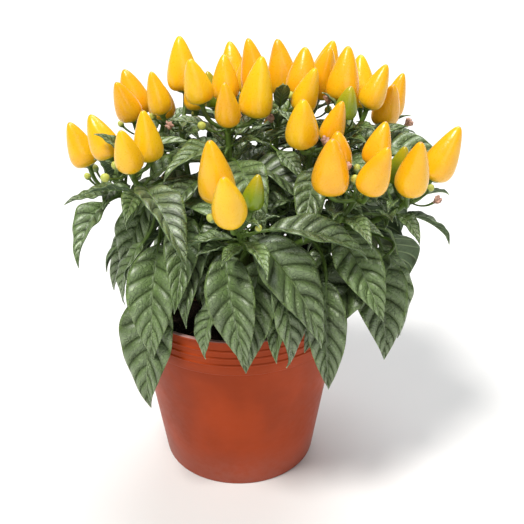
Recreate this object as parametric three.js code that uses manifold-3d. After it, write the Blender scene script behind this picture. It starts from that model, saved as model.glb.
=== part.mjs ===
// A potted ornamental chilli pepper plant: a ribbed nursery pot filled with potting soil, a low forking
// stem, leafy shoots that hold their leaves clear of each other, and upright fruits in bunches at the tips.
// Millimetres, +Z up. The origin is the middle of the pot's underside, and the front of the plant faces -Y.
import * as THREE from "three";
import { mergeVertices } from "three/addons/utils/BufferGeometryUtils.js";
import Module from "manifold-3d";

const wasm = await Module();
wasm.setup();

// Pot and soil
const POT_HEIGHT = 105;
const RIM_RADIUS = 60;
const FOOT_RADIUS = 42;
const COLLAR_HEIGHT = 22;
const POT_SIDES = 32;
const WALL = 1.5;
const DRAIN_HOLES = 6;
const SOIL_LEVEL = 96;
const FIT_GAP = 0.3;
const FINEST = 0.1;

// Stems
const STEM_FOOT = [0, 0, 62];
const STEM_BEND = [-2, 1, 92];
const STEM_TOP = [4, 0, 126];
const STEM_RADIUS = 3.7;
const BRANCH_HEADINGS = [-65, -5, 45, 110, 190];
const BRANCH_RADIUS = 2.4;
const SHOOT_RADIUS = 1.9;
const TIP_RADIUS = 1.3;

// Crown: each shoot's tip (x, y, z), how many fruits it carries and how many of them are still green.
// The crown leans to the right of the pot.
const SHOOTS = [
  [-4, -4, 197, 4, 0],
  [21, 10, 198, 4, 0],
  [38, -14, 190, 3, 0],
  [54, 8, 192, 4, 1],
  [-30, 16, 190, 3, 0],
  [-48, -32, 183, 3, 0],
  [6, -62, 170, 3, 1],
  [60, -44, 179, 4, 0],
  [86, -24, 168, 3, 1],
  [72, 36, 178, 3, 0],
  [34, 52, 184, 3, 0],
  [-8, 50, 183, 3, 1],
  [-50, 32, 176, 3, 0],
  [-64, -6, 162, 1, 0],
  [10, 66, 163, 1, 0],
];
const CROWN_MIDDLE = [13, 0, 120];
const CROWN_REACH = 71;
const CROWN_WIDTH = 206;
const CROWN_HEIGHT = 70;

// Leaves and fruits. Each shoot has TIP_LEAVES near its tip; the skirt's leaves hang round the dome's edge,
// at SKIRT_HEIGHTS in turn. LOW_LEAF hangs below the rim: its way round the dome in degrees, its height, and
// its length and its distance from the crown's middle as shares of the usual ones.
const LEAF_THICKNESS = 0.75;
const PETIOLE_WIDTH = 1.7;
const WIDEST = 0.72;
const TIP_LEAVES = 6;
const SKIRT_LEAVES = 24;
const SKIRT_HEIGHTS = [-0.02, 0.26, -0.15];
const LOW_LEAF = [-137, -0.36, 1.15, 1.1];
const DOME_SPOTS = 160;
const TRIES = 30;
const FRUIT_SIDES = 7;
const LEAF_ROOM = 1.35;
const CELL = 0.6;
const GRID_FROM = [-115, -120, 60];
const GRID_SIZE = [430, 400, 320];
const SEED = 66;

const radians = THREE.MathUtils.degToRad;

// Seeded draws, so that every run grows the same plant
let drawn = SEED;
function random() {
  drawn = (drawn * 16807) % 2147483647;
  return drawn / 2147483647;
}

function between(low, high) {
  return low + (high - low) * random();
}

// Points and paths are plain [x, y, z] arrays
const add = (a, b, k = 1) => [a[0] + b[0] * k, a[1] + b[1] * k, a[2] + b[2] * k];
const length = (a) => Math.sqrt(a[0] * a[0] + a[1] * a[1] + a[2] * a[2]);
const unit = (a) => add([0, 0, 0], a, 1 / length(a));
const distance = (a, b) => length(add(a, b, -1));
const dot = (a, b) => a[0] * b[0] + a[1] * b[1] + a[2] * b[2];
const cross = (a, b) => [
  a[1] * b[2] - a[2] * b[1],
  a[2] * b[0] - a[0] * b[2],
  a[0] * b[1] - a[1] * b[0],
];

function bow(limb, t) {
  const a = (1 - t) * (1 - t);
  const b = 2 * t * (1 - t);
  return [0, 1, 2].map((i) => a * limb.from[i] + b * limb.bend[i] + t * t * limb.to[i]);
}

// The bodies that stand in the crown, as balls. Fruits are tested against the balls themselves.
const bodies = [];
const isClear = (balls) =>
  bodies.every((a) => balls.every((b) => distance(a.at, b.at) > a.r + b.r));

// Leaves are tested against a grid of small cells, marked wherever a leaf's middle surface would be too near
const cellOf = (at) => at.map((v, i) => Math.floor((v - GRID_FROM[i]) / CELL));
const cellIndex = (i, j, k) => (i * GRID_SIZE[1] + j) * GRID_SIZE[2] + k;
const marked = new Uint8Array(GRID_SIZE[0] * GRID_SIZE[1] * GRID_SIZE[2]);

function mark(balls) {
  for (const { at, r } of balls) {
    const reach = r + LEAF_ROOM;
    const low = cellOf(add(at, [reach, reach, reach], -1));
    const high = cellOf(add(at, [reach, reach, reach]));
    for (let i = low[0]; i <= high[0]; i++)
      for (let j = low[1]; j <= high[1]; j++)
        for (let k = low[2]; k <= high[2]; k++) {
          const middle = [i, j, k].map((v, axis) => GRID_FROM[axis] + (v + 0.5) * CELL);
          if (distance(middle, at) < reach) marked[cellIndex(i, j, k)] = 1;
        }
  }
}

const isFree = (balls) => !balls.some((ball) => !ball.joined && marked[cellIndex(...cellOf(ball.at))]);

// Leaves stay inside the crown's width, and out of the pot's wall and the soil
function isAllowed(at) {
  if (Math.hypot(at[0] - CROWN_MIDDLE[0], at[1] - CROWN_MIDDLE[1]) > CROWN_WIDTH / 2) return false;
  const r = Math.hypot(at[0], at[1]);
  if (at[2] > POT_HEIGHT + 1) return true;
  return r > RIM_RADIUS + 2 || (r < RIM_RADIUS - 4 && at[2] > SOIL_LEVEL + 4);
}

// The skeleton: a main stem, branches that fork from it, and the limbs that carry the shoots
function growSkeleton() {
  const stem = { from: STEM_FOOT, bend: STEM_BEND, to: STEM_TOP };
  const branches = BRANCH_HEADINGS.map((degrees, i) => {
    const heading = radians(degrees);
    const from = bow(stem, 0.66 + 0.07 * i);
    const to = [5 + 25 * Math.cos(heading), 25 * Math.sin(heading), 137 + 1.5 * i];
    const bend = [2 + 18 * Math.cos(heading), 18 * Math.sin(heading), from[2] + 9];
    return { from, bend, to, heading };
  });
  const shoots = SHOOTS.map(([x, y, z, fruitCount, greenCount]) => {
    const heading = Math.atan2(y - STEM_TOP[1], x - STEM_TOP[0]);
    const turns = branches.map((b) => Math.cos(b.heading - heading));
    const branch = branches[turns.indexOf(Math.max(...turns))];
    const from = Math.hypot(x - STEM_TOP[0], y - STEM_TOP[1]) < 26 ? STEM_TOP : branch.to;
    const to = [x, y, z];
    const bend = to.map((v, i) => from[i] + (v - from[i]) * (i < 2 ? 0.8 : 0.35));
    const outward = Math.atan2(y - CROWN_MIDDLE[1], x - CROWN_MIDDLE[0]);
    return { from, bend, to, heading: outward, fruitCount, greenCount, fruits: [], leaves: [] };
  });
  // The main stem's solid holds each limb as far as it runs close to another one
  for (const shoot of shoots) {
    const span = distance(shoot.from, shoot.to);
    const crowded = (share) =>
      shoots.some((other) => {
        if (other === shoot || other.from !== shoot.from) return false;
        for (let t = 0; t < 0.6; t += 0.02)
          if (distance(bow(shoot, share), bow(other, t)) < 2 * SHOOT_RADIUS + 0.9) return true;
        return false;
      });
    shoot.stub = 8 / span;
    while (crowded(shoot.stub)) shoot.stub += 0.02;
  }
  const limbBalls = (limb, radius, count) => {
    const balls = [];
    for (let i = 0; i <= count; i++) balls.push({ at: bow(limb, i / count), r: radius + 0.4 });
    return balls;
  };
  bodies.push(...limbBalls(stem, STEM_RADIUS, 20));
  branches.forEach((branch) => bodies.push(...limbBalls(branch, BRANCH_RADIUS, 14)));
  shoots.forEach((shoot) => bodies.push(...limbBalls(shoot, SHOOT_RADIUS, 30)));
  return { stem, branches, shoots };
}

// A fruit's radius along its length, as a share of its widest: a round shoulder and a long blunt taper
function fruitProfile(t) {
  return 1.08 * Math.sqrt(Math.sin(Math.PI * Math.pow(t, 0.55))) * (1 - 0.3 * t);
}

function fruitAxis(fruit, t) {
  const straight = add(fruit.base, fruit.axis, fruit.length * t);
  return add(straight, fruit.side, fruit.bow * t * t);
}

function fruitBalls(fruit) {
  const balls = [];
  for (let i = 0; i <= 7; i++) {
    const t = 0.06 + (0.9 * i) / 7;
    balls.push({ at: fruitAxis(fruit, t), r: fruit.radius * fruitProfile(t) + 0.5 });
  }
  return balls;
}

function stalkBalls(stalk) {
  const balls = [];
  for (let i = 3; i <= 9; i++) balls.push({ at: bow(stalk, i / 9), r: i > 7 ? 3 : 1.5 });
  return balls;
}

// Upright fruits in a ring round the shoot's tip, each on its own stalk
function growFruits(shoot) {
  const start = between(0, 6.28);
  const outward = [Math.cos(shoot.heading), Math.sin(shoot.heading), 0];
  const away = distance(shoot.to, [CROWN_MIDDLE[0], CROWN_MIDDLE[1], shoot.to[2]]);
  for (let i = 0; i < shoot.fruitCount; i++) {
    const green = i >= shoot.fruitCount - shoot.greenCount;
    for (let attempt = 0; attempt < 24; attempt++) {
      const turn = start + (6.283 * i) / shoot.fruitCount + between(-0.3, 0.3);
      const long = (between(21, 29.5) - attempt * 0.2) * (green ? 0.76 : 1);
      const radius = long * between(0.28, 0.325);
      const spread = radius * (shoot.fruitCount < 4 ? 1.3 : 1.55) + between(0.2, 2.5 + attempt * 0.2);
      const lean = between(0.08, 0.32);
      const out = [Math.cos(turn), Math.sin(turn), 0];
      const base = add(add(shoot.to, out, spread), [0, 0, 1], between(3, 12));
      const upright = add(add([0, 0, Math.cos(lean)], out, Math.sin(lean)), outward, away * 0.003);
      const axis = unit(upright);
      const side = unit([-axis[1], axis[0], between(-0.4, 0.4)]);
      const fruit = { base, axis, side, length: long, radius, bow: between(-3, 3), green };
      const balls = fruitBalls(fruit);
      if (!isClear(balls)) continue;
      bodies.push(...balls);
      fruit.stalk = { from: add(shoot.to, [0, 0, -2]), to: base };
      fruit.stalk.bend = add(add(shoot.to, out, spread * 0.85), axis, -2);
      bodies.push(...stalkBalls(fruit.stalk));
      shoot.fruits.push(fruit);
      break;
    }
  }
}

// A point at share t of an arc that leaves at an angle rise and drops by droop along its length
function arc(long, rise, droop, t) {
  const angle = rise - droop * t;
  const ahead = (long * (Math.sin(rise) - Math.sin(angle))) / droop;
  const up = (long * (Math.cos(angle) - Math.cos(rise))) / droop;
  return { ahead, up, angle };
}

// Half the blade's width as a share of its widest: egg-shaped, with a drawn-out point
function bladeShape(t) {
  return Math.sin(Math.PI * Math.pow(t, WIDEST)) * (1 - 0.36 * t * t * t);
}

const pointing = (heading, rise) => [
  Math.cos(heading) * Math.cos(rise),
  Math.sin(heading) * Math.cos(rise),
  Math.sin(rise),
];

// A leaf's middle line: s is -1 to 0 along the stalk and 0 to 1 along the blade
function leafSpine(leaf, s) {
  if (s < 0) {
    const t = s + 1;
    const before = add(leaf.bend, leaf.root, -1);
    const after = add(leaf.base, leaf.bend, -1);
    const at = bow({ from: leaf.root, bend: leaf.bend, to: leaf.base }, t);
    return { at, ahead: unit(add(add([0, 0, 0], before, 1 - t), after, t)) };
  }
  const blade = arc(leaf.length, leaf.rise, leaf.droop, s);
  const e = [Math.cos(leaf.heading), Math.sin(leaf.heading)];
  const sway = leaf.sway * leaf.length * s * s;
  const at = add(leaf.base, [e[0] * blade.ahead - e[1] * sway, e[1] * blade.ahead + e[0] * sway, blade.up]);
  return { at, ahead: pointing(leaf.heading, blade.angle) };
}

// A leaf's surface: w is -1 to 1 across the blade, lift is a distance above it
function leafPoint(leaf, s, w, lift) {
  const { at, ahead } = leafSpine(leaf, s);
  const t = Math.max(s, 0);
  const level = [-Math.sin(leaf.heading), Math.cos(leaf.heading), 0];
  const left = unit(add(level, ahead, -dot(level, ahead)));
  const normal = cross(ahead, left);
  const roll = leaf.roll * (1 - Math.pow(1 - t, 3));
  const across = add(add([0, 0, 0], left, Math.cos(roll)), normal, Math.sin(roll));
  const face = add(add([0, 0, 0], normal, Math.cos(roll)), left, -Math.sin(roll));
  const half = Math.max(leaf.width * 0.5 * bladeShape(t), PETIOLE_WIDTH / 2);
  const fold = leaf.fold * Math.min(1, t * 8);
  const wave = t > 0 ? leaf.wave * w * w * Math.sin(8.5 * t + leaf.phase + w) * bladeShape(t) : 0;
  const out = add(at, across, w * half * Math.cos(fold));
  return add(out, face, Math.abs(w) * half * Math.sin(fold) + wave + lift);
}

function leafBalls(leaf) {
  const balls = [];
  const stalk = distance(leaf.root, leaf.base);
  const steps = Math.ceil(stalk / 1.8);
  for (let i = 0; i < steps; i++)
    balls.push({ at: leafSpine(leaf, i / steps - 1).at, r: 1.5, joined: (stalk * i) / steps < 6 });
  const rows = Math.ceil(leaf.length / 1.6);
  for (let i = 0; i < rows; i++) {
    const t = (i + 0.5) / rows;
    const half = leaf.width * 0.5 * bladeShape(t);
    const columns = Math.ceil(half / 1.6);
    for (let j = -columns; j <= columns; j++)
      balls.push({ at: leafPoint(leaf, t, j / columns, 0), r: 1.05 });
  }
  return balls;
}

function placeLeaf(shoot, leaf) {
  const balls = leafBalls(leaf);
  if (!balls.every((ball) => isAllowed(ball.at)) || !isFree(balls)) return false;
  mark(balls);
  shoot.leaves.push(leaf);
  return true;
}

// Small leaves that stand among the fruits at a shoot's tip
function growTipLeaf(shoot, k) {
  const place = 0.97 - 0.055 * k;
  const start = shoot.heading + radians(137.5 * k + 40 + between(-20, 20));
  const small = k < 3;
  const long = small ? between(36, 48) : between(46, 58);
  const steep = radians(small ? between(50, 80) : between(14, 48));
  const stalk = small ? between(6, 10) : between(10, 17);
  const bend = radians(between(8, 24));
  const droop = radians(between(36, 66));
  const form = leafForm(long);
  for (let attempt = 0; attempt < TRIES; attempt++) {
    const vary = (amount) => (between(-amount, amount) * attempt) / TRIES;
    const root = bow(shoot, place - Math.abs(vary(0.12)));
    const heading = start + vary(2.2);
    const rise = steep + vary(0.6);
    const size = 1 - Math.abs(vary(0.5));
    const base = add(root, pointing(heading, rise), stalk);
    const leaf = { ...form, root, base, heading, rise: rise - bend, droop };
    leaf.bend = add(root, pointing(heading, rise + 0.15), stalk * 0.5);
    leaf.length = long * size;
    leaf.width = form.width * size;
    if (placeLeaf(shoot, leaf)) return;
  }
}

function leafForm(long) {
  return {
    width: long * between(0.4, 0.5),
    sway: between(-0.12, 0.12),
    roll: radians(between(-24, 24)),
    fold: radians(between(15, 34)),
    wave: between(0.8, 1.8),
    phase: between(0, 6.28),
  };
}

// Where a leaf's stalk may spring from: the spot on a shoot that is about a stalk's length inside the blade
function nearestRoot(shoots, base, outward, shift) {
  let best = null;
  for (const shoot of shoots)
    for (let place = shoot.stub + 0.06 + shift; place < 0.9; place += 0.05) {
      const root = bow(shoot, place);
      const step = add(base, root, -1);
      if (dot(step, outward) < 5) continue;
      const crowd = shoot.leaves.filter((leaf) => distance(leaf.root, root) < 3.5).length;
      const score = Math.abs(length(step) - 17) + 5 * crowd;
      if (!best || score < best.score) best = { shoot, root, score };
    }
  return best;
}

// A leaf whose blade's middle lies near a chosen spot of the crown's dome
function growDomeLeaf(shoots, degrees, height, share, depth) {
  const around = radians(degrees);
  const level = Math.sqrt(1 - height * height);
  const long = between(56, 68) * share * (1 - 0.16 * Math.max(height, 0));
  const slope = radians(-60 + 52 * height + between(-9, 9));
  const droop = radians(between(30, 52));
  const askew = radians(between(-20, 20));
  const shift = between(0, 0.05);
  const out = [Math.cos(around), Math.sin(around), 0];
  const form = leafForm(long);
  for (let attempt = 0; attempt < TRIES; attempt++) {
    const vary = (amount) => (between(-amount, amount) * attempt) / TRIES;
    const scale = depth + vary(0.14) - Math.abs(vary(0.14));
    const pitch = slope + vary(0.35);
    const size = 1 - Math.abs(vary(0.26));
    const half = (long * size) / 2;
    const spot = add(CROWN_MIDDLE, out, CROWN_REACH * level * scale);
    spot[2] += CROWN_HEIGHT * height * scale;
    const guess = add(spot, pointing(around, pitch), -half);
    const spring = nearestRoot(shoots, guess, out, shift);
    if (!spring) continue;
    const direct = Math.atan2(guess[1] - spring.root[1], guess[0] - spring.root[0]);
    const heading = direct + askew + vary(1.1);
    const base = add(spot, pointing(heading, pitch), -half);
    const rise = pitch + droop / 2;
    const leaf = { ...form, root: spring.root, base, heading, rise, droop, big: share > 0.8 };
    leaf.length = long * size;
    leaf.width = form.width * size;
    const stalk = distance(base, spring.root);
    if (stalk < 8 || stalk > 38) continue;
    leaf.bend = add(base, pointing(heading, rise), -stalk * 0.5);
    if (placeLeaf(spring.shoot, leaf)) return;
  }
}

// Leaves on the spots of a spiral over the dome: share scales their length, depth is how far out they are
function coverDome(shoots, share, depth) {
  for (let i = 0; i < DOME_SPOTS; i++) {
    const height = 0.95 * ((0.5698 * (i + share)) % 1) - 0.1;
    growDomeLeaf(shoots, 271.76 * (i + share), height, share, depth);
  }
}

function growPlant() {
  const plant = growSkeleton();
  const shoots = plant.shoots;
  shoots.forEach(growFruits);
  mark(bodies);
  growDomeLeaf(shoots, ...LOW_LEAF);
  for (let i = 0; i < SKIRT_LEAVES; i++)
    growDomeLeaf(shoots, (360 / SKIRT_LEAVES) * i - 90, SKIRT_HEIGHTS[i % 3], 1, 0.98);
  for (let k = 0; k < TIP_LEAVES; k++) shoots.forEach((shoot) => growTipLeaf(shoot, k));
  coverDome(shoots, 1, 0.98);
  coverDome(shoots, 0.72, 0.6);
  coverDome(shoots, 0.6, 0.98);
  return plant;
}

// Closed geometries as manifold solids, and back
function solidOf(geometry) {
  geometry.deleteAttribute("normal");
  geometry.deleteAttribute("uv");
  const merged = mergeVertices(geometry, 1e-4);
  const mesh = new wasm.Mesh({
    numProp: 3,
    vertProperties: new Float32Array(merged.attributes.position.array),
    triVerts: new Uint32Array(merged.index.array),
  });
  return new wasm.Manifold(mesh);
}

// The outer body only, without slivers: tiny pockets between crossing leaf stalks are filled
function geometryOf(solid) {
  const parts = solid.asOriginal().simplify(FINEST).decompose();
  const volumes = parts.map((body) => body.volume());
  const mesh = parts[volumes.indexOf(Math.max(...volumes))].getMesh();
  const geometry = new THREE.BufferGeometry();
  geometry.setAttribute("position", new THREE.BufferAttribute(mesh.vertProperties, 3));
  geometry.setIndex(new THREE.BufferAttribute(mesh.triVerts, 1));
  geometry.computeVertexNormals();
  return geometry;
}

// A round limb along a path, made from a cylinder whose rings are moved onto the path
function limbGeometry(path, radius, sides, spans) {
  const geometry = new THREE.CylinderGeometry(1, 1, 1, sides, spans);
  const position = geometry.getAttribute("position");
  const chord = unit(add(path(1), path(0), -1));
  const reference = Math.abs(chord[2]) > 0.6 ? [1, 0, 0] : [0, 0, 1];
  for (let i = 0; i < position.count; i++) {
    const t = position.getY(i) + 0.5;
    const along = unit(add(path(Math.min(t + 0.01, 1.01)), path(t - 0.01), -1));
    const dot = along[0] * reference[0] + along[1] * reference[1] + along[2] * reference[2];
    const side = new THREE.Vector3(...unit(add(reference, along, -dot)));
    const across = new THREE.Vector3().crossVectors(side, new THREE.Vector3(...along));
    const at = new THREE.Vector3(...path(t));
    at.addScaledVector(side, position.getX(i) * radius(t));
    at.addScaledVector(across, position.getZ(i) * radius(t));
    position.setXYZ(i, at.x, at.y, at.z);
  }
  return geometry;
}

// A closed slab over a plane's grid: spot gives a vertex from its column, its row from the root and its face
function slabGeometry(columns, rows, spot) {
  const plane = new THREE.PlaneGeometry(1, 1, columns, rows);
  const index = plane.getIndex().array;
  const count = (columns + 1) * (rows + 1);
  const points = [];
  for (const face of [1, -1])
    for (let i = 0; i < count; i++)
      points.push(...spot(i % (columns + 1), rows - Math.floor(i / (columns + 1)), face));
  const faces = [];
  for (let i = 0; i < index.length; i += 3) {
    const [a, b, c] = index.slice(i, i + 3);
    faces.push(a, b, c, a + count, c + count, b + count);
  }
  const rim = [];
  for (let row = 0; row < rows; row++) rim.push(row * (columns + 1));
  for (let column = 0; column < columns; column++) rim.push(rows * (columns + 1) + column);
  for (let row = rows; row > 0; row--) rim.push(row * (columns + 1) + columns);
  for (let column = columns; column > 0; column--) rim.push(column);
  rim.forEach((a, i) => {
    const b = rim[(i + 1) % rim.length];
    faces.push(b, a, a + count, b, a + count, b + count);
  });
  const geometry = new THREE.BufferGeometry();
  geometry.setAttribute("position", new THREE.Float32BufferAttribute(points, 3));
  geometry.setIndex(faces);
  return geometry;
}

function leafGeometry(leaf) {
  const stalk = distance(leaf.root, leaf.base) > 15 ? [-1, -0.45] : [-1];
  const stations = [...stalk, 0, ...(leaf.big ? [0.16, 0.45, 0.76] : [0.2, 0.58]), 1];
  return slabGeometry(2, stations.length - 1, (column, row, face) => {
    const s = stations[row];
    const thickness = s <= 0 ? PETIOLE_WIDTH * 0.9 : LEAF_THICKNESS;
    return leafPoint(leaf, s, 1 - column, (face * thickness) / 2);
  });
}

// A fruit's stalk, which flares into the calyx under it
function stalkGeometry(fruit) {
  const end = add(fruit.base, fruit.axis, -FIT_GAP);
  const neck = { from: fruit.stalk.from, bend: fruit.stalk.bend, to: end };
  const flare = (t) => (t > 0.95 ? fruit.radius * 0.5 : 0.9 + 0.7 * t * t);
  const path = (t) => (t > 0.7 ? add(end, fruit.axis, -(1 - t) * 9) : bow(neck, t / 0.86));
  return limbGeometry(path, flare, 4, 4);
}

// Each sub-part's own geometry
function potGeometry() {
  const collarFoot = POT_HEIGHT - COLLAR_HEIGHT;
  const neck = RIM_RADIUS - 5.5;
  const profile = [
    [0, 0],
    [27, 0],
    [28, 2],
    [36, 2],
    [37, 0],
    [FOOT_RADIUS - 1, 0],
    [FOOT_RADIUS, 1.2],
    [neck, collarFoot - 1],
    [RIM_RADIUS - 2.4, collarFoot + 1],
    [RIM_RADIUS - 1, POT_HEIGHT - 1.6],
    [RIM_RADIUS, POT_HEIGHT - 1.2],
    [RIM_RADIUS, POT_HEIGHT],
    [RIM_RADIUS - 2.2, POT_HEIGHT],
    [RIM_RADIUS - 3.9, collarFoot + 2.2],
    [neck - WALL, collarFoot - 1],
    [FOOT_RADIUS - WALL, 3.6],
    [0, 3.6],
  ];
  const lathe = new THREE.LatheGeometry(
    profile.map(([r, z]) => new THREE.Vector2(r, z)),
    POT_SIDES,
  );
  let pot = solidOf(lathe.rotateX(Math.PI / 2));
  for (let i = 0; i < DRAIN_HOLES; i++) {
    const hole = new THREE.CylinderGeometry(3, 3, 8, 6);
    hole.rotateX(Math.PI / 2);
    hole.translate(32, 0, 2);
    hole.rotateZ((2 * Math.PI * i) / DRAIN_HOLES);
    pot = pot.subtract(solidOf(hole));
  }
  return geometryOf(pot);
}

function soilGeometry() {
  const hole = STEM_RADIUS + 0.8;
  const step = POT_HEIGHT - COLLAR_HEIGHT;
  const profile = [
    [0, 4],
    [FOOT_RADIUS - WALL - FIT_GAP, 4],
    [RIM_RADIUS - 5.5 - WALL - FIT_GAP, step - 0.8],
    [RIM_RADIUS - 3.9 - FIT_GAP, step + 2.5],
    [RIM_RADIUS - 3.9 - FIT_GAP, SOIL_LEVEL - 1.5],
    [42, SOIL_LEVEL],
    [24, SOIL_LEVEL + 0.8],
    [hole, SOIL_LEVEL + 1],
    [hole, STEM_FOOT[2] - 1],
    [0, STEM_FOOT[2] - 1],
  ];
  const lathe = new THREE.LatheGeometry(
    profile.map(([r, z]) => new THREE.Vector2(r, z)),
    POT_SIDES,
  );
  lathe.rotateX(Math.PI / 2);
  const position = lathe.getAttribute("position");
  for (let i = 0; i < position.count; i++) {
    const [x, y, z] = [position.getX(i), position.getY(i), position.getZ(i)];
    const r = Math.hypot(x, y);
    if (z < SOIL_LEVEL - 0.1 || r < 8 || r > 50) continue;
    position.setZ(i, z + 0.9 * Math.sin(x * 0.43 + 1) + 0.9 * Math.cos(y * 0.39 - x * 0.11));
  }
  return geometryOf(solidOf(lathe));
}

function stemGeometry(plant) {
  const stemRadius = (t) => STEM_RADIUS - 0.9 * t;
  let solid = solidOf(limbGeometry((t) => bow(plant.stem, t), stemRadius, 8, 4));
  for (const branch of plant.branches) {
    const radius = (t) => BRANCH_RADIUS - 0.4 * t;
    solid = solid.add(solidOf(limbGeometry((t) => bow(branch, t), radius, 5, 3)));
  }
  for (const shoot of plant.shoots) {
    const stub = limbGeometry((t) => bow(shoot, t * shoot.stub), () => SHOOT_RADIUS, 5, 1);
    solid = solid.add(solidOf(stub));
  }
  return geometryOf(solid);
}

function shootGeometry(shoot) {
  const span = distance(shoot.from, shoot.to);
  const start = shoot.stub + (FIT_GAP + 0.1) / span;
  const path = (t) => bow(shoot, start + (1 - start) * t);
  const radius = (t) => SHOOT_RADIUS + (TIP_RADIUS - SHOOT_RADIUS) * t;
  let solid = solidOf(limbGeometry(path, radius, 5, 4));
  for (const leaf of shoot.leaves) solid = solid.add(solidOf(leafGeometry(leaf)));
  for (const fruit of shoot.fruits) solid = solid.add(solidOf(stalkGeometry(fruit)));
  return geometryOf(solid);
}

function fruitGeometry(fruit) {
  const heights = [0.06, 0.26, 0.6, 0.87];
  const profile = [new THREE.Vector2(0, 0), new THREE.Vector2(fruit.radius * 0.5, 0)];
  for (const t of heights) profile.push(new THREE.Vector2(fruit.radius * fruitProfile(t), fruit.length * t));
  profile.push(new THREE.Vector2(0, fruit.length));
  const lathe = new THREE.LatheGeometry(profile, FRUIT_SIDES);
  lathe.applyQuaternion(
    new THREE.Quaternion().setFromUnitVectors(new THREE.Vector3(0, 1, 0), new THREE.Vector3(...fruit.axis)),
  );
  const position = lathe.getAttribute("position");
  for (let i = 0; i < position.count; i++) {
    const spot = [position.getX(i), position.getY(i), position.getZ(i)];
    const t = (spot[0] * fruit.axis[0] + spot[1] * fruit.axis[1] + spot[2] * fruit.axis[2]) / fruit.length;
    position.setXYZ(i, ...add(spot, fruit.side, fruit.bow * t * t));
  }
  return geometryOf(solidOf(lathe));
}

const clay = new THREE.MeshStandardMaterial({ color: 0x9c4424, roughness: 0.55, metalness: 0 });
const peat = new THREE.MeshStandardMaterial({ color: 0x1d1510, roughness: 1, metalness: 0 });
const bark = new THREE.MeshStandardMaterial({ color: 0x55602c, roughness: 0.7, metalness: 0 });
const foliage = new THREE.MeshStandardMaterial({ color: 0x3d5a2c, roughness: 0.5, metalness: 0 });
const ripe = new THREE.MeshStandardMaterial({ color: 0xf5b521, roughness: 0.3, metalness: 0 });
const unripe = new THREE.MeshStandardMaterial({ color: 0x8fae24, roughness: 0.3, metalness: 0 });

function named(name, geometry, material) {
  const mesh = new THREE.Mesh(geometry, material);
  mesh.name = name;
  return mesh;
}

const plant = growPlant();
const part = new THREE.Group();
part.add(named("pot", potGeometry(), clay));
part.add(named("potting_soil", soilGeometry(), peat));
part.add(named("main_stem", stemGeometry(plant), bark));
plant.shoots.forEach((shoot, index) => {
  const label = String(index + 1).padStart(2, "0");
  part.add(named("leafy_shoot_" + label, shootGeometry(shoot), foliage));
  shoot.fruits.forEach((fruit, i) => {
    const skin = fruit.green ? unripe : ripe;
    const mesh = named("pepper_" + label + "_" + (i + 1), fruitGeometry(fruit), skin);
    mesh.position.set(...fruit.base);
    part.add(mesh);
  });
});

export default part;
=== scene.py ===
"""Looks of a potted ornamental chilli pepper plant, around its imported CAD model.

The plant grows here by the same rule and the same seeded draws as in the part's source, so each
finely modelled leaf, fruit and stem stands where its plain CAD solid stands. Places and lengths of
the plant are in millimetres, as in that source, and become metres when a mesh is made.
"""

import math

import bmesh
import bpy
import numpy as np
from bpy.props import FloatProperty, FloatVectorProperty, IntProperty, PointerProperty
from mathutils import Matrix, Vector, noise


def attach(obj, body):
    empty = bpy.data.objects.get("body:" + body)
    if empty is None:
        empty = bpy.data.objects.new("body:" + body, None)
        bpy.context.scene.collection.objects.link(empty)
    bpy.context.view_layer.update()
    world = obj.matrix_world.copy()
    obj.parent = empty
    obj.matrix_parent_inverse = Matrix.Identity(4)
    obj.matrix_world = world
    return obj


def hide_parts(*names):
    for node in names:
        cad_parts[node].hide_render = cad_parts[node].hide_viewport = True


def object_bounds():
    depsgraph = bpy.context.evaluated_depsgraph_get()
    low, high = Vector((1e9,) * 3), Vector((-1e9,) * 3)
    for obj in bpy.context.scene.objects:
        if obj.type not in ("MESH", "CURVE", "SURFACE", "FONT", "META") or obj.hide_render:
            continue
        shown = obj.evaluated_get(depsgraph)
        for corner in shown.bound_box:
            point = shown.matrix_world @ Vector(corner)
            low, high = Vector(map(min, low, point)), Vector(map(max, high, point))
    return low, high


bl_info = {
    "name": "Potted chilli pepper plant",
    "version": (1, 0, 0),
    "blender": (4, 5, 0),
    "location": "3D Viewport > Sidebar > Chilli plant",
    "description": "Models leaves, fruits, stems, soil and pot around the CAD frame",
    "category": "Add Mesh",
}

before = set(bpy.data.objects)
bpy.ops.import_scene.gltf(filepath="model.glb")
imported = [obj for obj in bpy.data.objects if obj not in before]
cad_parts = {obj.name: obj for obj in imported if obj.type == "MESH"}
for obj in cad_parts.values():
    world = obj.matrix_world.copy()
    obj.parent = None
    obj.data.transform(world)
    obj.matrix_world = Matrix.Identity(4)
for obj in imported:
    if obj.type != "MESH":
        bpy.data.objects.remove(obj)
CAD_BOX = [list(corner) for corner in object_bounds()]
MM = 0.001
UP = np.array([0.0, 0.0, 1.0])

# Pot and soil, as in the part's source, in millimetres
POT_HEIGHT = 105.0
RIM_RADIUS = 60.0
FOOT_RADIUS = 42.0
COLLAR_HEIGHT = 22.0
WALL = 1.5
DRAIN_HOLES = 6
DRAIN_RADIUS = 3.0
DRAIN_RING = 32.0
SOIL_LEVEL = 96.0
FIT_GAP = 0.3

# Stems, as in the part's source
STEM_FOOT = np.array([0.0, 0.0, 62.0])
STEM_BEND = np.array([-2.0, 1.0, 92.0])
STEM_TOP = np.array([4.0, 0.0, 126.0])
STEM_RADIUS = 3.7
BRANCH_HEADINGS = [-65, -5, 45, 110, 190]
BRANCH_RADIUS = 2.4
SHOOT_RADIUS = 1.9
TIP_RADIUS = 1.3

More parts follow.
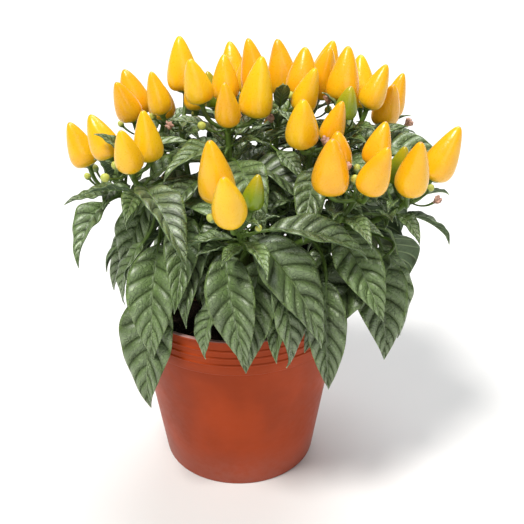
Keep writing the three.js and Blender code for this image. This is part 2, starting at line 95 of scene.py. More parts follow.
# Crown, as in the part's source: each shoot's tip, its number of fruits and how many are green
SHOOTS = [
    (-4, -4, 197, 4, 0),
    (21, 10, 198, 4, 0),
    (38, -14, 190, 3, 0),
    (54, 8, 192, 4, 1),
    (-30, 16, 190, 3, 0),
    (-48, -32, 183, 3, 0),
    (6, -62, 170, 3, 1),
    (60, -44, 179, 4, 0),
    (86, -24, 168, 3, 1),
    (72, 36, 178, 3, 0),
    (34, 52, 184, 3, 0),
    (-8, 50, 183, 3, 1),
    (-50, 32, 176, 3, 0),
    (-64, -6, 162, 1, 0),
    (10, 66, 163, 1, 0),
]
CROWN_MIDDLE = np.array([13.0, 0.0, 120.0])
CROWN_REACH = 71
CROWN_WIDTH = 206
CROWN_HEIGHT = 70
PETIOLE_WIDTH = 1.7
WIDEST = 0.72
TIP_LEAVES = 6
SKIRT_LEAVES = 24
SKIRT_HEIGHTS = (-0.02, 0.26, -0.15)
LOW_LEAF = (-137, -0.36, 1.15, 1.1)
DOME_SPOTS = 160
DOME_TURN = 271.76
DOME_STEP = 0.5698
TRIES = 30
FRUIT_TRIES = 24
USUAL_STALK = 17
STALK_RANGE = (8, 38)
ROOT_SPACING = 3.5
LEAF_ROOM = 1.35
CELL = 0.6
GRID_FROM = np.array([-115.0, -120.0, 60.0])
GRID_SIZE = (430, 400, 320)
SEED = 66
FULL_TURN = 6.283
PHASES = 6.28

# Balls that test whether a leaf has room: how far apart and how large on its stalk and blade
STALK_STEP, STALK_BALL = 1.8, 1.5
BLADE_STEP, BLADE_BALL = 1.6, 1.05


class Draws:
    """Seeded draws, the same numbers in the same order as in the part's source."""

    FACTOR, MODULUS = 16807, 2147483647

    def __init__(self, seed):
        self.drawn = seed

    def between(self, low, high):
        self.drawn = (self.drawn * self.FACTOR) % self.MODULUS
        return low + (high - low) * (self.drawn / self.MODULUS)


class Limb:
    """A stem's middle line: a bow from one point to another, drawn towards a third."""

    def __init__(self, start, bend, end, **more):
        self.start, self.bend, self.end = start, bend, end
        self.__dict__.update(more)

    def at(self, t):
        t = np.asarray(t, float)[..., None]
        return (1 - t) * (1 - t) * self.start + 2 * t * (1 - t) * self.bend + t * t * self.end

    def length(self):
        return float(np.linalg.norm(self.end - self.start))


def unit(vectors):
    return vectors / np.linalg.norm(vectors, axis=-1, keepdims=True)


def pointing(heading, rise):
    return np.array(
        [math.cos(heading) * math.cos(rise), math.sin(heading) * math.cos(rise), math.sin(rise)]
    )


def steps(start, stop, step):
    """Start, start + step and so on below stop, summed as the part's source sums them."""
    found = []
    while start < stop:
        found.append(start)
        start += step
    return np.array(found)


class Room:
    """The crown's space: which small cells are taken, and the bodies that stand in it as balls."""

    def __init__(self):
        self.taken = np.zeros(GRID_SIZE, bool)
        self.points = np.zeros((0, 3))
        self.radii = np.zeros(0)

    def add_balls(self, points, radii):
        self.points = np.vstack([self.points, points])
        self.radii = np.append(self.radii, np.broadcast_to(radii, len(points)))

    def is_clear(self, points, radii):
        apart = np.linalg.norm(self.points[:, None] - points, axis=-1)
        return bool(np.all(apart > self.radii[:, None] + radii))

    @staticmethod
    def cells(points):
        return np.floor((points - GRID_FROM) / CELL).astype(int)

    def mark(self, points, radius):
        """Takes every cell whose middle is near one of the points."""
        reach = radius + LEAF_ROOM
        span = np.arange(-int(reach / CELL) - 1, int(reach / CELL) + 2)
        offsets = np.stack(np.meshgrid(span, span, span, indexing="ij"), -1).reshape(-1, 3)
        near = self.cells(points)[:, None] + offsets
        middle = GRID_FROM + (near + 0.5) * CELL
        inside = np.linalg.norm(middle - points[:, None], axis=-1) < reach
        self.taken[tuple(near[inside].T)] = True

    def is_free(self, points):
        return not self.taken[tuple(self.cells(points).T)].any()


def is_allowed(points):
    """Leaves stay inside the crown's width, and out of the pot's wall and the soil."""
    from_crown = np.hypot(points[:, 0] - CROWN_MIDDLE[0], points[:, 1] - CROWN_MIDDLE[1])
    r = np.hypot(points[:, 0], points[:, 1])
    inside_pot = (r < RIM_RADIUS - 4) & (points[:, 2] > SOIL_LEVEL + 4)
    fine = (points[:, 2] > POT_HEIGHT + 1) | (r > RIM_RADIUS + 2) | inside_pot
    return bool(np.all(fine & (from_crown <= CROWN_WIDTH / 2)))


def fruit_profile(t):
    """A fruit's radius along its length, as a share of its widest."""
    return 1.08 * np.sqrt(np.sin(np.pi * np.power(t, 0.55))) * (1 - 0.3 * t)


def fruit_axis(fruit, t):
    t = np.asarray(t, float)[..., None]
    bow = fruit["side"] * fruit["bow"] * t * t
    return fruit["base"] + fruit["axis"] * fruit["length"] * t + bow


def blade_shape(t):
    """Half the blade's width along it, as a share of its widest: an egg with a drawn-out point."""
    t = np.clip(t, 0, 1)
    return np.sin(np.pi * np.power(t, WIDEST)) * (1 - 0.36 * t * t * t)


class Leaf:
    """A leaf's stalk, middle line and surface."""

    def __init__(self, form, **place):
        self.__dict__.update(form)
        self.__dict__.update(place)

    def spine(self, s):
        """The middle line and its direction; s is -1 to 0 on the stalk and 0 to 1 on the blade."""
        s = np.asarray(s, float)
        t = np.clip(s + 1, 0, 1)[..., None]
        stalk = Limb(self.root, self.bend, self.base)
        stalk_ahead = unit((self.bend - self.root) * (1 - t) + (self.base - self.bend) * t)
        u = np.clip(s, 0, None)
        angle = self.rise - self.droop * u
        ahead = self.length * (math.sin(self.rise) - np.sin(angle)) / self.droop
        up = self.length * (np.cos(angle) - math.cos(self.rise)) / self.droop
        c, d = math.cos(self.heading), math.sin(self.heading)
        sway = self.sway * self.length * u * u
        blade = self.base + np.stack([c * ahead - d * sway, d * ahead + c * sway, up], -1)
        blade_ahead = np.stack([c * np.cos(angle), d * np.cos(angle), np.sin(angle)], -1)
        on_stalk = (s < 0)[..., None]
        at = np.where(on_stalk, stalk.at(np.clip(s + 1, 0, 1)), blade)
        return at, np.where(on_stalk, stalk_ahead, blade_ahead)

    def axes(self, s):
        """Point, direction across the blade to the left, and direction out of its upper face."""
        at, ahead = self.spine(s)
        level = np.array([-math.sin(self.heading), math.cos(self.heading), 0.0])
        left = unit(level - ahead * (ahead @ level)[..., None])
        normal = np.cross(ahead, left)
        roll = (self.roll * (1 - (1 - np.clip(s, 0, 1)) ** 3))[..., None]
        across = left * np.cos(roll) + normal * np.sin(roll)
        return at, across, normal * np.cos(roll) - left * np.sin(roll)

    def point(self, s, w):
        """A point of the CAD blade's middle surface; w is -1 to 1 across it."""
        at, across, face = self.axes(s)
        half = np.maximum(self.width * 0.5 * blade_shape(s), PETIOLE_WIDTH / 2)
        fold = self.fold * np.minimum(1, s * 8)
        wave = self.wave * w * w * np.sin(8.5 * s + self.phase + w) * blade_shape(s)
        sideways = (w * half * np.cos(fold))[..., None]
        outwards = (np.abs(w) * half * np.sin(fold) + wave)[..., None]
        return at + across * sideways + face * outwards

    def outline(self):
        """Points along the blade's middle and edges: some of those in balls, for a quick test."""
        rows = math.ceil(self.length / BLADE_STEP)
        t = (np.arange(rows) + 0.5) / rows
        return self.point(np.tile(t, 3), np.repeat([-1.0, 0.0, 1.0], rows))

    def balls(self):
        """Points on the stalk that have to be free, all those on the stalk, those on the blade."""
        stalk = float(np.linalg.norm(self.base - self.root))
        count = math.ceil(stalk / STALK_STEP)
        on_stalk = self.spine(np.arange(count) / count - 1)[0]
        tested = on_stalk[stalk * np.arange(count) / count >= 6]
        rows = math.ceil(self.length / BLADE_STEP)
        s, w = [], []
        for i in range(rows):
            t = (i + 0.5) / rows
            columns = math.ceil(self.width * 0.5 * float(blade_shape(t)) / BLADE_STEP)
            w.append(np.arange(-columns, columns + 1) / columns)
            s.append(np.full(2 * columns + 1, t))
        return tested, on_stalk, self.point(np.concatenate(s), np.concatenate(w))


class Plant:
    """The whole plant's layout, grown in the same order as in the part's source."""

    def __init__(self):
        self.between = Draws(SEED).between
        self.room = Room()
        self.grow_skeleton()
        for shoot in self.shoots:
            self.grow_fruits(shoot)
        for point, radius in zip(self.room.points, self.room.radii):
            self.room.mark(point[None], radius)
        self.grow_dome_leaf(*LOW_LEAF)
        for i in range(SKIRT_LEAVES):
            self.grow_dome_leaf((360 / SKIRT_LEAVES) * i - 90, SKIRT_HEIGHTS[i % 3], 1, 0.98)
        for k in range(TIP_LEAVES):
            for shoot in self.shoots:
                self.grow_tip_leaf(shoot, k)
        self.cover_dome(1, 0.98)
        self.cover_dome(0.72, 0.6)
        self.cover_dome(0.6, 0.98)

    def grow_skeleton(self):
        self.stem = Limb(STEM_FOOT, STEM_BEND, STEM_TOP)
        self.branches = []
        for i, degrees in enumerate(BRANCH_HEADINGS):
            heading = math.radians(degrees)
            c, s = math.cos(heading), math.sin(heading)
            start = self.stem.at(0.66 + 0.07 * i)
            end = np.array([5 + 25 * c, 25 * s, 137 + 1.5 * i])
            bend = np.array([2 + 18 * c, 18 * s, start[2] + 9])
            self.branches.append(Limb(start, bend, end, heading=heading))
        self.shoots = []
        for x, y, z, fruit_count, green_count in SHOOTS:
            heading = math.atan2(y - STEM_TOP[1], x - STEM_TOP[0])
            turns = [math.cos(b.heading - heading) for b in self.branches]
            origin = turns.index(max(turns))
            if math.hypot(x - STEM_TOP[0], y - STEM_TOP[1]) < 26:
                origin = -1
            start = STEM_TOP if origin < 0 else self.branches[origin].end
            end = np.array([x, y, z], float)
            bend = start + (end - start) * np.array([0.8, 0.8, 0.35])
            outward = math.atan2(y - CROWN_MIDDLE[1], x - CROWN_MIDDLE[0])
            shoot = Limb(start, bend, end, origin=origin, heading=outward, fruits=[], leaves=[])
            shoot.fruit_count, shoot.green_count = fruit_count, green_count
            self.shoots.append(shoot)
        along = steps(0, 0.6, 0.02)
        for shoot in self.shoots:
            others = [o for o in self.shoots if o is not shoot and o.origin == shoot.origin]
            lines = np.vstack([o.at(along) for o in others]) if others else np.zeros((0, 3))
            near = 2 * SHOOT_RADIUS + 0.9
            shoot.stub = 8 / shoot.length()
            while (np.linalg.norm(lines - shoot.at(shoot.stub), axis=-1) < near).any():
                shoot.stub += 0.02
        groups = [([self.stem], STEM_RADIUS, 20), (self.branches, BRANCH_RADIUS, 14)]
        for limbs, radius, count in groups + [(self.shoots, SHOOT_RADIUS, 30)]:
            for limb in limbs:
                self.room.add_balls(limb.at(np.arange(count + 1) / count), radius + 0.4)

    def grow_fruits(self, shoot):
        """Upright fruits in a ring round the shoot's tip, each on its own stalk."""
        between = self.between
        start = between(0, PHASES)
        outward = pointing(shoot.heading, 0)
        away = math.hypot(shoot.end[0] - CROWN_MIDDLE[0], shoot.end[1] - CROWN_MIDDLE[1])
        for i in range(shoot.fruit_count):
            green = i >= shoot.fruit_count - shoot.green_count
            for attempt in range(FRUIT_TRIES):
                turn = start + (FULL_TURN * i) / shoot.fruit_count + between(-0.3, 0.3)
                long = (between(21, 29.5) - attempt * 0.2) * (0.76 if green else 1)
                radius = long * between(0.28, 0.325)
                spread = radius * (1.3 if shoot.fruit_count < 4 else 1.55)
                spread += between(0.2, 2.5 + attempt * 0.2)
                lean = between(0.08, 0.32)
                out = pointing(turn, 0)
                base = shoot.end + out * spread + UP * between(3, 12)
                axis = unit(UP * math.cos(lean) + out * math.sin(lean) + outward * away * 0.003)
                side = unit(np.array([-axis[1], axis[0], between(-0.4, 0.4)]))
                fruit = {"base": base, "axis": axis, "side": side, "length": long}
                fruit.update(radius=radius, bow=between(-3, 3), green=green)
                t = 0.06 + 0.9 * np.arange(8) / 7
                points, radii = fruit_axis(fruit, t), radius * fruit_profile(t) + 0.5
                if not self.room.is_clear(points, radii):
                    continue
                self.room.add_balls(points, radii)
                bend = shoot.end + out * spread * 0.85 - axis * 2
                stalk = fruit["stalk"] = Limb(shoot.end - UP * 2, bend, base)
                on_stalk = np.arange(3, 10)
                self.room.add_balls(stalk.at(on_stalk / 9), np.where(on_stalk > 7, 3.0, 1.5))
                shoot.fruits.append(fruit)
                break

    def place_leaf(self, shoot, leaf):
        outline = leaf.outline()
        if not is_allowed(outline) or not self.room.is_free(outline):
            return False
        tested, on_stalk, on_blade = leaf.balls()
        if not is_allowed(np.vstack([on_stalk, on_blade])):
            return False
        if not self.room.is_free(np.vstack([tested, on_blade])):
            return False
        self.room.mark(on_stalk, STALK_BALL)
        self.room.mark(on_blade, BLADE_BALL)
        shoot.leaves.append(leaf)
        return True

    def leaf_form(self, long):
        between = self.between
        return {
            "full_width": long * between(0.4, 0.5),
            "sway": between(-0.12, 0.12),
            "roll": math.radians(between(-24, 24)),
            "fold": math.radians(between(15, 34)),
            "wave": between(0.8, 1.8),
            "phase": between(0, PHASES),
        }

    def vary(self, amount, attempt):
        return (self.between(-amount, amount) * attempt) / TRIES

    def grow_tip_leaf(self, shoot, k):
        """A small leaf that stands among the fruits at a shoot's tip."""
        between, vary = self.between, self.vary
        place = 0.97 - 0.055 * k
        start = shoot.heading + math.radians(137.5 * k + 40 + between(-20, 20))
        long = between(36, 48) if k < 3 else between(46, 58)
        steep = math.radians(between(50, 80) if k < 3 else between(14, 48))
        stalk = between(6, 10) if k < 3 else between(10, 17)
        bend = math.radians(between(8, 24))
        droop = math.radians(between(36, 66))
        form = self.leaf_form(long)
        for i in range(TRIES):
            root = shoot.at(place - abs(vary(0.12, i)))
            heading = start + vary(2.2, i)
            rise = steep + vary(0.6, i)
            size = 1 - abs(vary(0.5, i))
            base = root + pointing(heading, rise) * stalk
            middle = root + pointing(heading, rise + 0.15) * stalk * 0.5
            leaf = Leaf(form, root=root, base=base, bend=middle, heading=heading, droop=droop)
            leaf.rise, leaf.length, leaf.young = rise - bend, long * size, k < 3
            leaf.width = leaf.full_width * size
            if self.place_leaf(shoot, leaf):
                return

    def roots(self, shift):
        """The spots where a new leaf may spring, and how crowded each is."""
        found = []
        for shoot in self.shoots:
            taken = np.array([leaf.root for leaf in shoot.leaves]).reshape(-1, 3)
            for root in shoot.at(steps(shoot.stub + 0.06 + shift, 0.9, 0.05)):
                near = np.linalg.norm(taken - root, axis=-1) < ROOT_SPACING
                found.append((shoot, root, int(near.sum())))
        return found

    def grow_dome_leaf(self, degrees, height, share, depth):
        """A leaf whose blade's middle lies near a chosen spot of the crown's dome."""
        between, vary = self.between, self.vary
        around = math.radians(degrees)
        level = math.sqrt(1 - height * height)
        long = between(56, 68) * share * (1 - 0.16 * max(height, 0))
        slope = math.radians(-60 + 52 * height + between(-9, 9))
        droop = math.radians(between(30, 52))
        askew = math.radians(between(-20, 20))
        roots = self.roots(between(0, 0.05))
        spots = np.array([root for _, root, _ in roots])
        crowds = np.array([crowd for _, _, crowd in roots])
        out = pointing(around, 0)
        form = self.leaf_form(long)
        for i in range(TRIES):
            scale = depth + vary(0.14, i)
            scale -= abs(vary(0.14, i))
            pitch = slope + vary(0.35, i)
            size = 1 - abs(vary(0.26, i))
            half = (long * size) / 2
            spot = CROWN_MIDDLE + out * CROWN_REACH * level * scale
            spot[2] += CROWN_HEIGHT * height * scale
            guess = spot - pointing(around, pitch) * half
            step = guess - spots
            score = np.abs(np.linalg.norm(step, axis=-1) - USUAL_STALK) + 5 * crowds
            score[step @ out < 5] = np.inf
            best = int(np.argmin(score))
            if not np.isfinite(score[best]):
                continue
            root = spots[best]
            direct = math.atan2(guess[1] - root[1], guess[0] - root[0])
            heading = direct + askew + vary(1.1, i)
            base = spot - pointing(heading, pitch) * half
            rise = pitch + droop / 2
            leaf = Leaf(form, root=root, base=base, heading=heading, rise=rise, droop=droop)
            leaf.length, leaf.width, leaf.young = long * size, leaf.full_width * size, False
            stalk = float(np.linalg.norm(base - root))
            if not STALK_RANGE[0] <= stalk <= STALK_RANGE[1]:
                continue
            leaf.bend = base - pointing(heading, rise) * stalk * 0.5
            if self.place_leaf(roots[best][0], leaf):
                return

    def cover_dome(self, share, depth):
        for i in range(DOME_SPOTS):
            height = 0.95 * ((DOME_STEP * (i + share)) % 1) - 0.1
            self.grow_dome_leaf(DOME_TURN * (i + share), height, share, depth)


# Looks that the part's source doesn't have. A blade longer than LARGE_BLADE has the finer mesh,
# and a leaf longer than THICK_FROM the thicker stalk.
VEINS = 8
ROWS_A_VEIN = 6
BLADE_COLUMNS = 14
LARGE_BLADE = 34
THICK_STALK = 0.85
THIN_STALK = 0.5
THICK_FROM = 32
VEIN_SLANT = 0.18
SPROUTS_A_SHOOT = 11
SPROUT_TRIES = 80
SPRIGS_A_SHOOT = 3
SPRIG_TRIES = 60
INNER_SPOTS = 600
POT_SIDES = 144
SOIL_SIDES = 128
CRUMB_REACH = 54
FIBRE_REACH = 51
WELD = 1e-3
FLOOR_RADIUS_IN_METRES = 40


def linear(code):
    """A colour written as 0xRRGGBB, in Blender's linear values."""
    parts = [(code >> shift & 255) / 255 for shift in (16, 8, 0)]
    return tuple(p / 12.92 if p < 0.04045 else ((p + 0.055) / 1.055) ** 2.4 for p in parts)


def colour_property(name, code, text):
    look = {"size": 3, "min": 0, "max": 1, "subtype": "COLOR"}
    return FloatVectorProperty(name=name, description=text, default=linear(code), **look)


def length_property(name, metres, text):
    return FloatProperty(name=name, description=text, default=metres, min=0, unit="LENGTH")


def angle_property(name, degrees, text):
    turn = math.radians(degrees)
    return FloatProperty(name=name, description=text, default=turn, subtype="ANGLE")


def count_property(name, count, text):
    return IntProperty(name=name, description=text, default=count, min=0)


class CHILLI_PG_pot(bpy.types.PropertyGroup):
    clay: colour_property("Clay", 0xA83F13, "Colour of the pot's outer wall")
    # This colour is a painted highlight along the rim's top edge, standing in for the reflection on
    # the glossy rim; it also tints the dust near the foot.
    glint_and_dust: colour_property("Lip", 0xB79A94, "Colour of the worn edge of the rim")
    # The inside colour is painted shade: the pot's inner wall and floor are darkened as they look
    # in shadow.
    inside: colour_property("Inside", 0x1E1614, "Colour of the pot's inner wall")
    rib_height: length_property("Rib height", 0.0004, "How far the collar's fine ribs stand out")
    ribs: count_property("Ribs", 3, "Fine ribs round the collar")


class CHILLI_PG_soil(bpy.types.PropertyGroup):
    peat: colour_property("Peat", 0x15100C, "Colour of moist peat")
    crumb: colour_property("Crumbs", 0x3A2A1E, "Colour of the drier crumbs")
    fibre: colour_property("Fibres", 0x7A5A3C, "Colour of the fibres on the soil")
    relief: length_property("Relief", 0.0011, "Height of the surface's unevenness")
    crumbs: count_property("Crumbs", 620, "Loose crumbs on the soil")
    fibres: count_property("Fibres", 56, "Loose fibres on the soil")


class CHILLI_PG_foliage(bpy.types.PropertyGroup):
    # Deep green is an old blade's own dark tone, and darkened further it is painted shade in the
    # grooves of the side veins.
    deep_and_groove_shade: colour_property("Deep green", 0x1E2A0D, "Darkest green of an old blade")
    # Fresh green is also painted light: the swelling between the veins is mixed towards it.
    fresh_and_pillow_light: colour_property("Fresh green", 0x607A3C, "Lighter green between the veins")
    young: colour_property("Young green", 0x6F8C34, "Green of young blades")
    rib: colour_property("Rib", 0xA2B584, "Colour of the middle rib and the veins")
    under: colour_property("Underside", 0x5A6F4B, "Green of the blade's underside")
    stalk: colour_property("Stalks", 0x5E7A2E, "Green of leaf stalks, fruit stalks and calyxes")
    bark: colour_property("Bark", 0x6B5A3A, "Colour of the corky skin low on the stem")
    thickness: length_property("Thickness", 0.00045, "Thickness of a blade")
    quilt: length_property("Quilting", 0.0021, "How far the blade swells between its veins")


class CHILLI_PG_fruit(bpy.types.PropertyGroup):
    yellow: colour_property("Yellow", 0xF8C818, "Colour of a fruit that has just ripened")
    orange: colour_property("Orange", 0xF1AA10, "Colour of a fully ripe fruit")
    green: colour_property("Green", 0x8BA51E, "Colour of an unripe fruit")
    bud: colour_property("Buds", 0xB9BF57, "Colour of the flower buds")
    withered: colour_property("Withered", 0x9A7A6C, "Colour of withered flowers")
    lobes: FloatProperty(name="Lobes", description="Depth of a fruit's lobes", default=0.03, min=0)


class CHILLI_PG_stage(bpy.types.PropertyGroup):
    azimuth: angle_property("Azimuth", 4, "Camera's turn round the plant from its front")
    elevation: angle_property("Elevation", 29, "Camera's height above the horizon")
    distance: length_property("Distance", 0.56, "From the camera to the middle of the plant")
    lens: FloatProperty(name="Lens", description="Focal length", default=72, unit="CAMERA")
    floor: colour_property("Floor", 0xE4E3E1, "Colour of the floor")
    key_strength: FloatProperty(name="Key light", description="Main light's strength", default=3.1)


SETTINGS = {
    "chilli_pot": CHILLI_PG_pot,
    "chilli_soil": CHILLI_PG_soil,
    "chilli_foliage": CHILLI_PG_foliage,
    "chilli_fruit": CHILLI_PG_fruit,
    "chilli_stage": CHILLI_PG_stage,
}


# Meshes are modelled in millimetres and become metres in finish_piece


def in_order(items):
    return list(dict.fromkeys(items))


def wrap(bm, sides, rings, spot):
    """A grid rolled up round an axis and closed; spot gives its points from angles and rings."""
    verts = bmesh.ops.create_grid(bm, x_segments=sides, y_segments=rings, size=1)["verts"]
    flat = np.array([v.co for v in verts])
    turn = np.round((flat[:, 0] + 1) / 2 * sides) % sides * (2 * math.pi / sides)
    ring = np.round((flat[:, 1] + 1) / 2 * rings).astype(int)
    for vert, point in zip(verts, spot(turn, ring)):
        vert.co = point
    bmesh.ops.remove_doubles(bm, verts=verts, dist=WELD)
    verts = [v for v in verts if v.is_valid]
    faces = in_order(f for v in verts for f in v.link_faces)
    open_edges = [e for e in in_order(e for v in verts for e in v.link_edges) if e.is_boundary]
    if open_edges:
        faces += bmesh.ops.holes_fill(bm, edges=open_edges, sides=0)["faces"]
    bmesh.ops.recalc_face_normals(bm, faces=faces)


def axes_from(ahead, chord=None, steep=0.7):
    """Two directions across an axis, or across a path at each of its points."""
    chord = ahead if chord is None else chord
    reference = np.array([1.0, 0.0, 0.0]) if abs(chord[2]) > steep else UP
    side = unit(reference - ahead * np.asarray(ahead @ reference)[..., None])
    return side, np.cross(ahead, side)


def spokes(side, up, turn):
    """The directions at some angles round an axis."""
    return side * np.cos(turn)[:, None] + up * np.sin(turn)[:, None]


def add_tube(bm, points, radii, sides=8, ridge=0.0):
    """A closed round stalk along a path; ridge makes it five-angled."""
    side, up = axes_from(unit(np.gradient(points, axis=0)), unit(points[-1] - points[0]), 0.6)

    def spot(turn, ring):
        r = radii[ring] * (1 + ridge * np.cos(5 * turn))
        return points[ring] + spokes(side[ring], up[ring], turn) * r[:, None]

    wrap(bm, sides, len(points) - 1, spot)


def add_rings(bm, sides, foot, axis, rings, growth, lift):
    """A closed body of rings round an axis, given by their radii and heights; growth and lift vary
    these with the angle and the ring."""
    radius, height = np.array(rings)
    side, up = axes_from(axis)

    def spot(turn, ring):
        r = radius[ring] * (1 + growth(turn, ring))
        z = height[ring] + lift(turn, ring)
        return foot + spokes(side, up, turn) * r[:, None] + axis * z[:, None]

    wrap(bm, sides, len(radius) - 1, spot)


def new_mesh(bm, name):
    mesh = bpy.data.meshes.new(name)
    bm.to_mesh(mesh)
    bm.free()
    return mesh


def new_object(name, data):
    made = bpy.data.objects.new(name, data)
    bpy.context.scene.collection.objects.link(made)
    return made


def finish_piece(bm, name, slot, materials, replaced=(), sharp=None):
    """Makes a piece of the plant from a mesh in millimetres."""
    mesh = new_mesh(bm, name)
    mesh.transform(Matrix.Scale(MM, 4))
    for material in materials:
        mesh.materials.append(material)
    mesh.polygons.foreach_set("use_smooth", [True] * len(mesh.polygons))
    if sharp:
        mesh.set_sharp_from_angle(angle=math.radians(sharp))
    piece = new_object(name, mesh)
    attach(piece, "root")
    if replaced:
        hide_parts(*replaced)
    return piece


# Shader nodes


class Nodes:
    """A node tree. Each call but fill adds a node, and gives its outputs or its one result."""

    def __init__(self, tree):
        self.tree = tree

    def fill(self, socket, value):
        """Links an output to the socket, or gives the socket a value."""
        if isinstance(value, bpy.types.NodeSocket):
            self.tree.links.new(value, socket)
        else:
            socket.default_value = value

    def put(self, kind, sockets=None, **settings):
        node = self.tree.nodes.new(kind)
        for name, value in settings.items():
            setattr(node, name, value)
        for key, value in (sockets or {}).items():
            self.fill(node.inputs[key], value)
        return node.outputs

    def calc(self, operation, *values):
        return self.put("ShaderNodeMath", dict(enumerate(values)), operation=operation)[0]

    def times(self, first, second):
        return self.calc("MULTIPLY", first, second)

    def line(self, value, factor, added):
        """The value, multiplied by the factor, and what is added to it."""
        return self.calc("MULTIPLY_ADD", value, factor, added)

    def rise(self, value, low, high):
        """0 below low and 1 above high, with a smooth step between, or the other way round."""
        ends = {"Value": value, "From Min": low, "From Max": high}
        return self.put("ShaderNodeMapRange", ends, interpolation_type="SMOOTHSTEP")["Result"]

    def mix(self, share, first, second):
        """A colour between first and second."""
        pair = {0: share}
        for key, value in ((6, first), (7, second)):
            pair[key] = value if isinstance(value, bpy.types.NodeSocket) else (*value, 1)
        return self.put("ShaderNodeMix", pair, data_type="RGBA")[2]

    def parts(self, vector):
        return self.put("ShaderNodeSeparateXYZ", {0: vector})

    def noise(self, vector, scale, detail):
        sockets = {"Vector": vector, "Scale": scale, "Detail": detail}
        return self.put("ShaderNodeTexNoise", sockets)[0]

    def attribute(self, name, output="Vector"):
        kind = "ShaderNodeAttribute"
        return self.put(kind, attribute_name=name, attribute_type="GEOMETRY")[output]

    def group(self, name, make, sockets):
        """A shared group of nodes, which is made when it is first used."""
        tree = bpy.data.node_groups.get(name) or make(name)
        return self.put("ShaderNodeGroup", sockets, node_tree=tree)


def new_group(name, inputs, outputs):
    """A node group, what it is given and the sockets of its results; an input is a name, a kind and
    a default, and all results are numbers."""
    tree = bpy.data.node_groups.new(name, "ShaderNodeTree")
    for label, kind, default in inputs:
        kind = "NodeSocket" + kind
        socket = tree.interface.new_socket(name=label, in_out="INPUT", socket_type=kind)
        if default is not None:
            socket.default_value = default
    for label in outputs:
        tree.interface.new_socket(name=label, in_out="OUTPUT", socket_type="NodeSocketFloat")
    given, result = tree.nodes.new("NodeGroupInput"), tree.nodes.new("NodeGroupOutput")
    return Nodes(tree), given.outputs, result.inputs


def patches_group(name):
    """Soft uneven patches at a scale, and a fine grain that goes with them."""
    inputs = [("Vector", "Vector", None), ("Patch size", "Float", 0.01), ("Contrast", "Float", 0.5)]
    nodes, given, result = new_group(name, inputs, ["Patches", "Grain"])
    scale = nodes.calc("DIVIDE", 1.0, given["Patch size"])
    half = nodes.times(given["Contrast"], 0.5)
    ends = nodes.calc("ADD", 0.3, half), nodes.calc("SUBTRACT", 0.7, half)
    wide = nodes.noise(given["Vector"], scale, 3.0)
    nodes.fill(result["Patches"], nodes.rise(wide, *ends))
    nodes.fill(result["Grain"], nodes.noise(given["Vector"], nodes.times(scale, 7.0), 2.0))
    return nodes.tree


def veins_group(name):
    """Masks of a blade's middle rib, its side veins and its edge, the swelling between the veins,
    and the swelling's relief, which is less on a narrow blade. They come from the blade's own
    place: x along the blade, counted along the side veins, y from -1 to 1 across it, and z half
    its width in millimetres."""
    labels = ["Rib", "Veins", "Swelling", "Relief", "Edge"]
    nodes, given, result = new_group(name, [("Place", "Vector", None)], labels)
    place = nodes.parts(given["Place"])
    aside = nodes.calc("ABSOLUTE", place[1])
    right = nodes.times(nodes.calc("GREATER_THAN", place[1], 0.0), 0.5)
    phase = nodes.calc("FRACT", nodes.line(place[0], float(VEINS), right))
    swelling = nodes.calc("SINE", nodes.times(phase, math.pi))
    masks = [
        nodes.rise(nodes.times(aside, place[2]), 0.5, 0.18),
        nodes.times(nodes.rise(swelling, 0.3, 0.05), nodes.rise(aside, 1.0, 0.8)),
        swelling,
        nodes.times(swelling, nodes.rise(place[2], 3.0, 11.0)),
        nodes.rise(aside, 0.86, 1.0),
    ]
    for label, mask in zip(labels, masks):
        nodes.fill(result[label], mask)
    return nodes.tree


class Surface(Nodes):
    """A new material with patches and a grain; constants are set on the shader's own sockets."""

    def __init__(self, name, patch_size, contrast, stretch=None, **constants):
        self.material = bpy.data.materials.new(name)
        self.material.use_nodes = True
        super().__init__(self.material.node_tree)
        self.shader = next(n for n in self.tree.nodes if n.type == "BSDF_PRINCIPLED").inputs
        for key, value in constants.items():
            self.shader[key.replace("_", " ")].default_value = value
        self.place = vector = self.put("ShaderNodeTexCoord")["Object"]
        if stretch:
            vector = self.put("ShaderNodeMapping", {"Vector": vector, "Scale": stretch})[0]
        sockets = {"Vector": vector, "Patch size": patch_size, "Contrast": contrast}
        found = self.group("uneven_patches", patches_group, sockets)
        self.patches, self.grain = found["Patches"], found["Grain"]

    def patchy(self, first, second):
        return self.mix(self.patches, first, second)

    def veins(self):
        return self.group("blade_veins", veins_group, {"Place": self.attribute("blade_place")})

    def finish(self, colour, rough=None, height=None, depth=0.0):
        """Links what varies; rough is a factor on the grain and what is added to it."""
        self.fill(self.shader["Base Color"], colour)
        if rough is not None:
            self.fill(self.shader["Roughness"], self.line(self.grain, *rough))
        if height is not None:
            sockets = {"Height": height, "Distance": depth, "Strength": 1.0}
            self.fill(self.shader["Normal"], self.put("ShaderNodeBump", sockets)[0])
        return self.material


def scaled(colour, *factors):
    """A colour whose three values are multiplied by one factor, or by three."""
    return tuple(part * factor for part, factor in zip(colour, factors * (3 // len(factors))))


def known_material(name, make):
    return bpy.data.materials.get(name) or make(name)


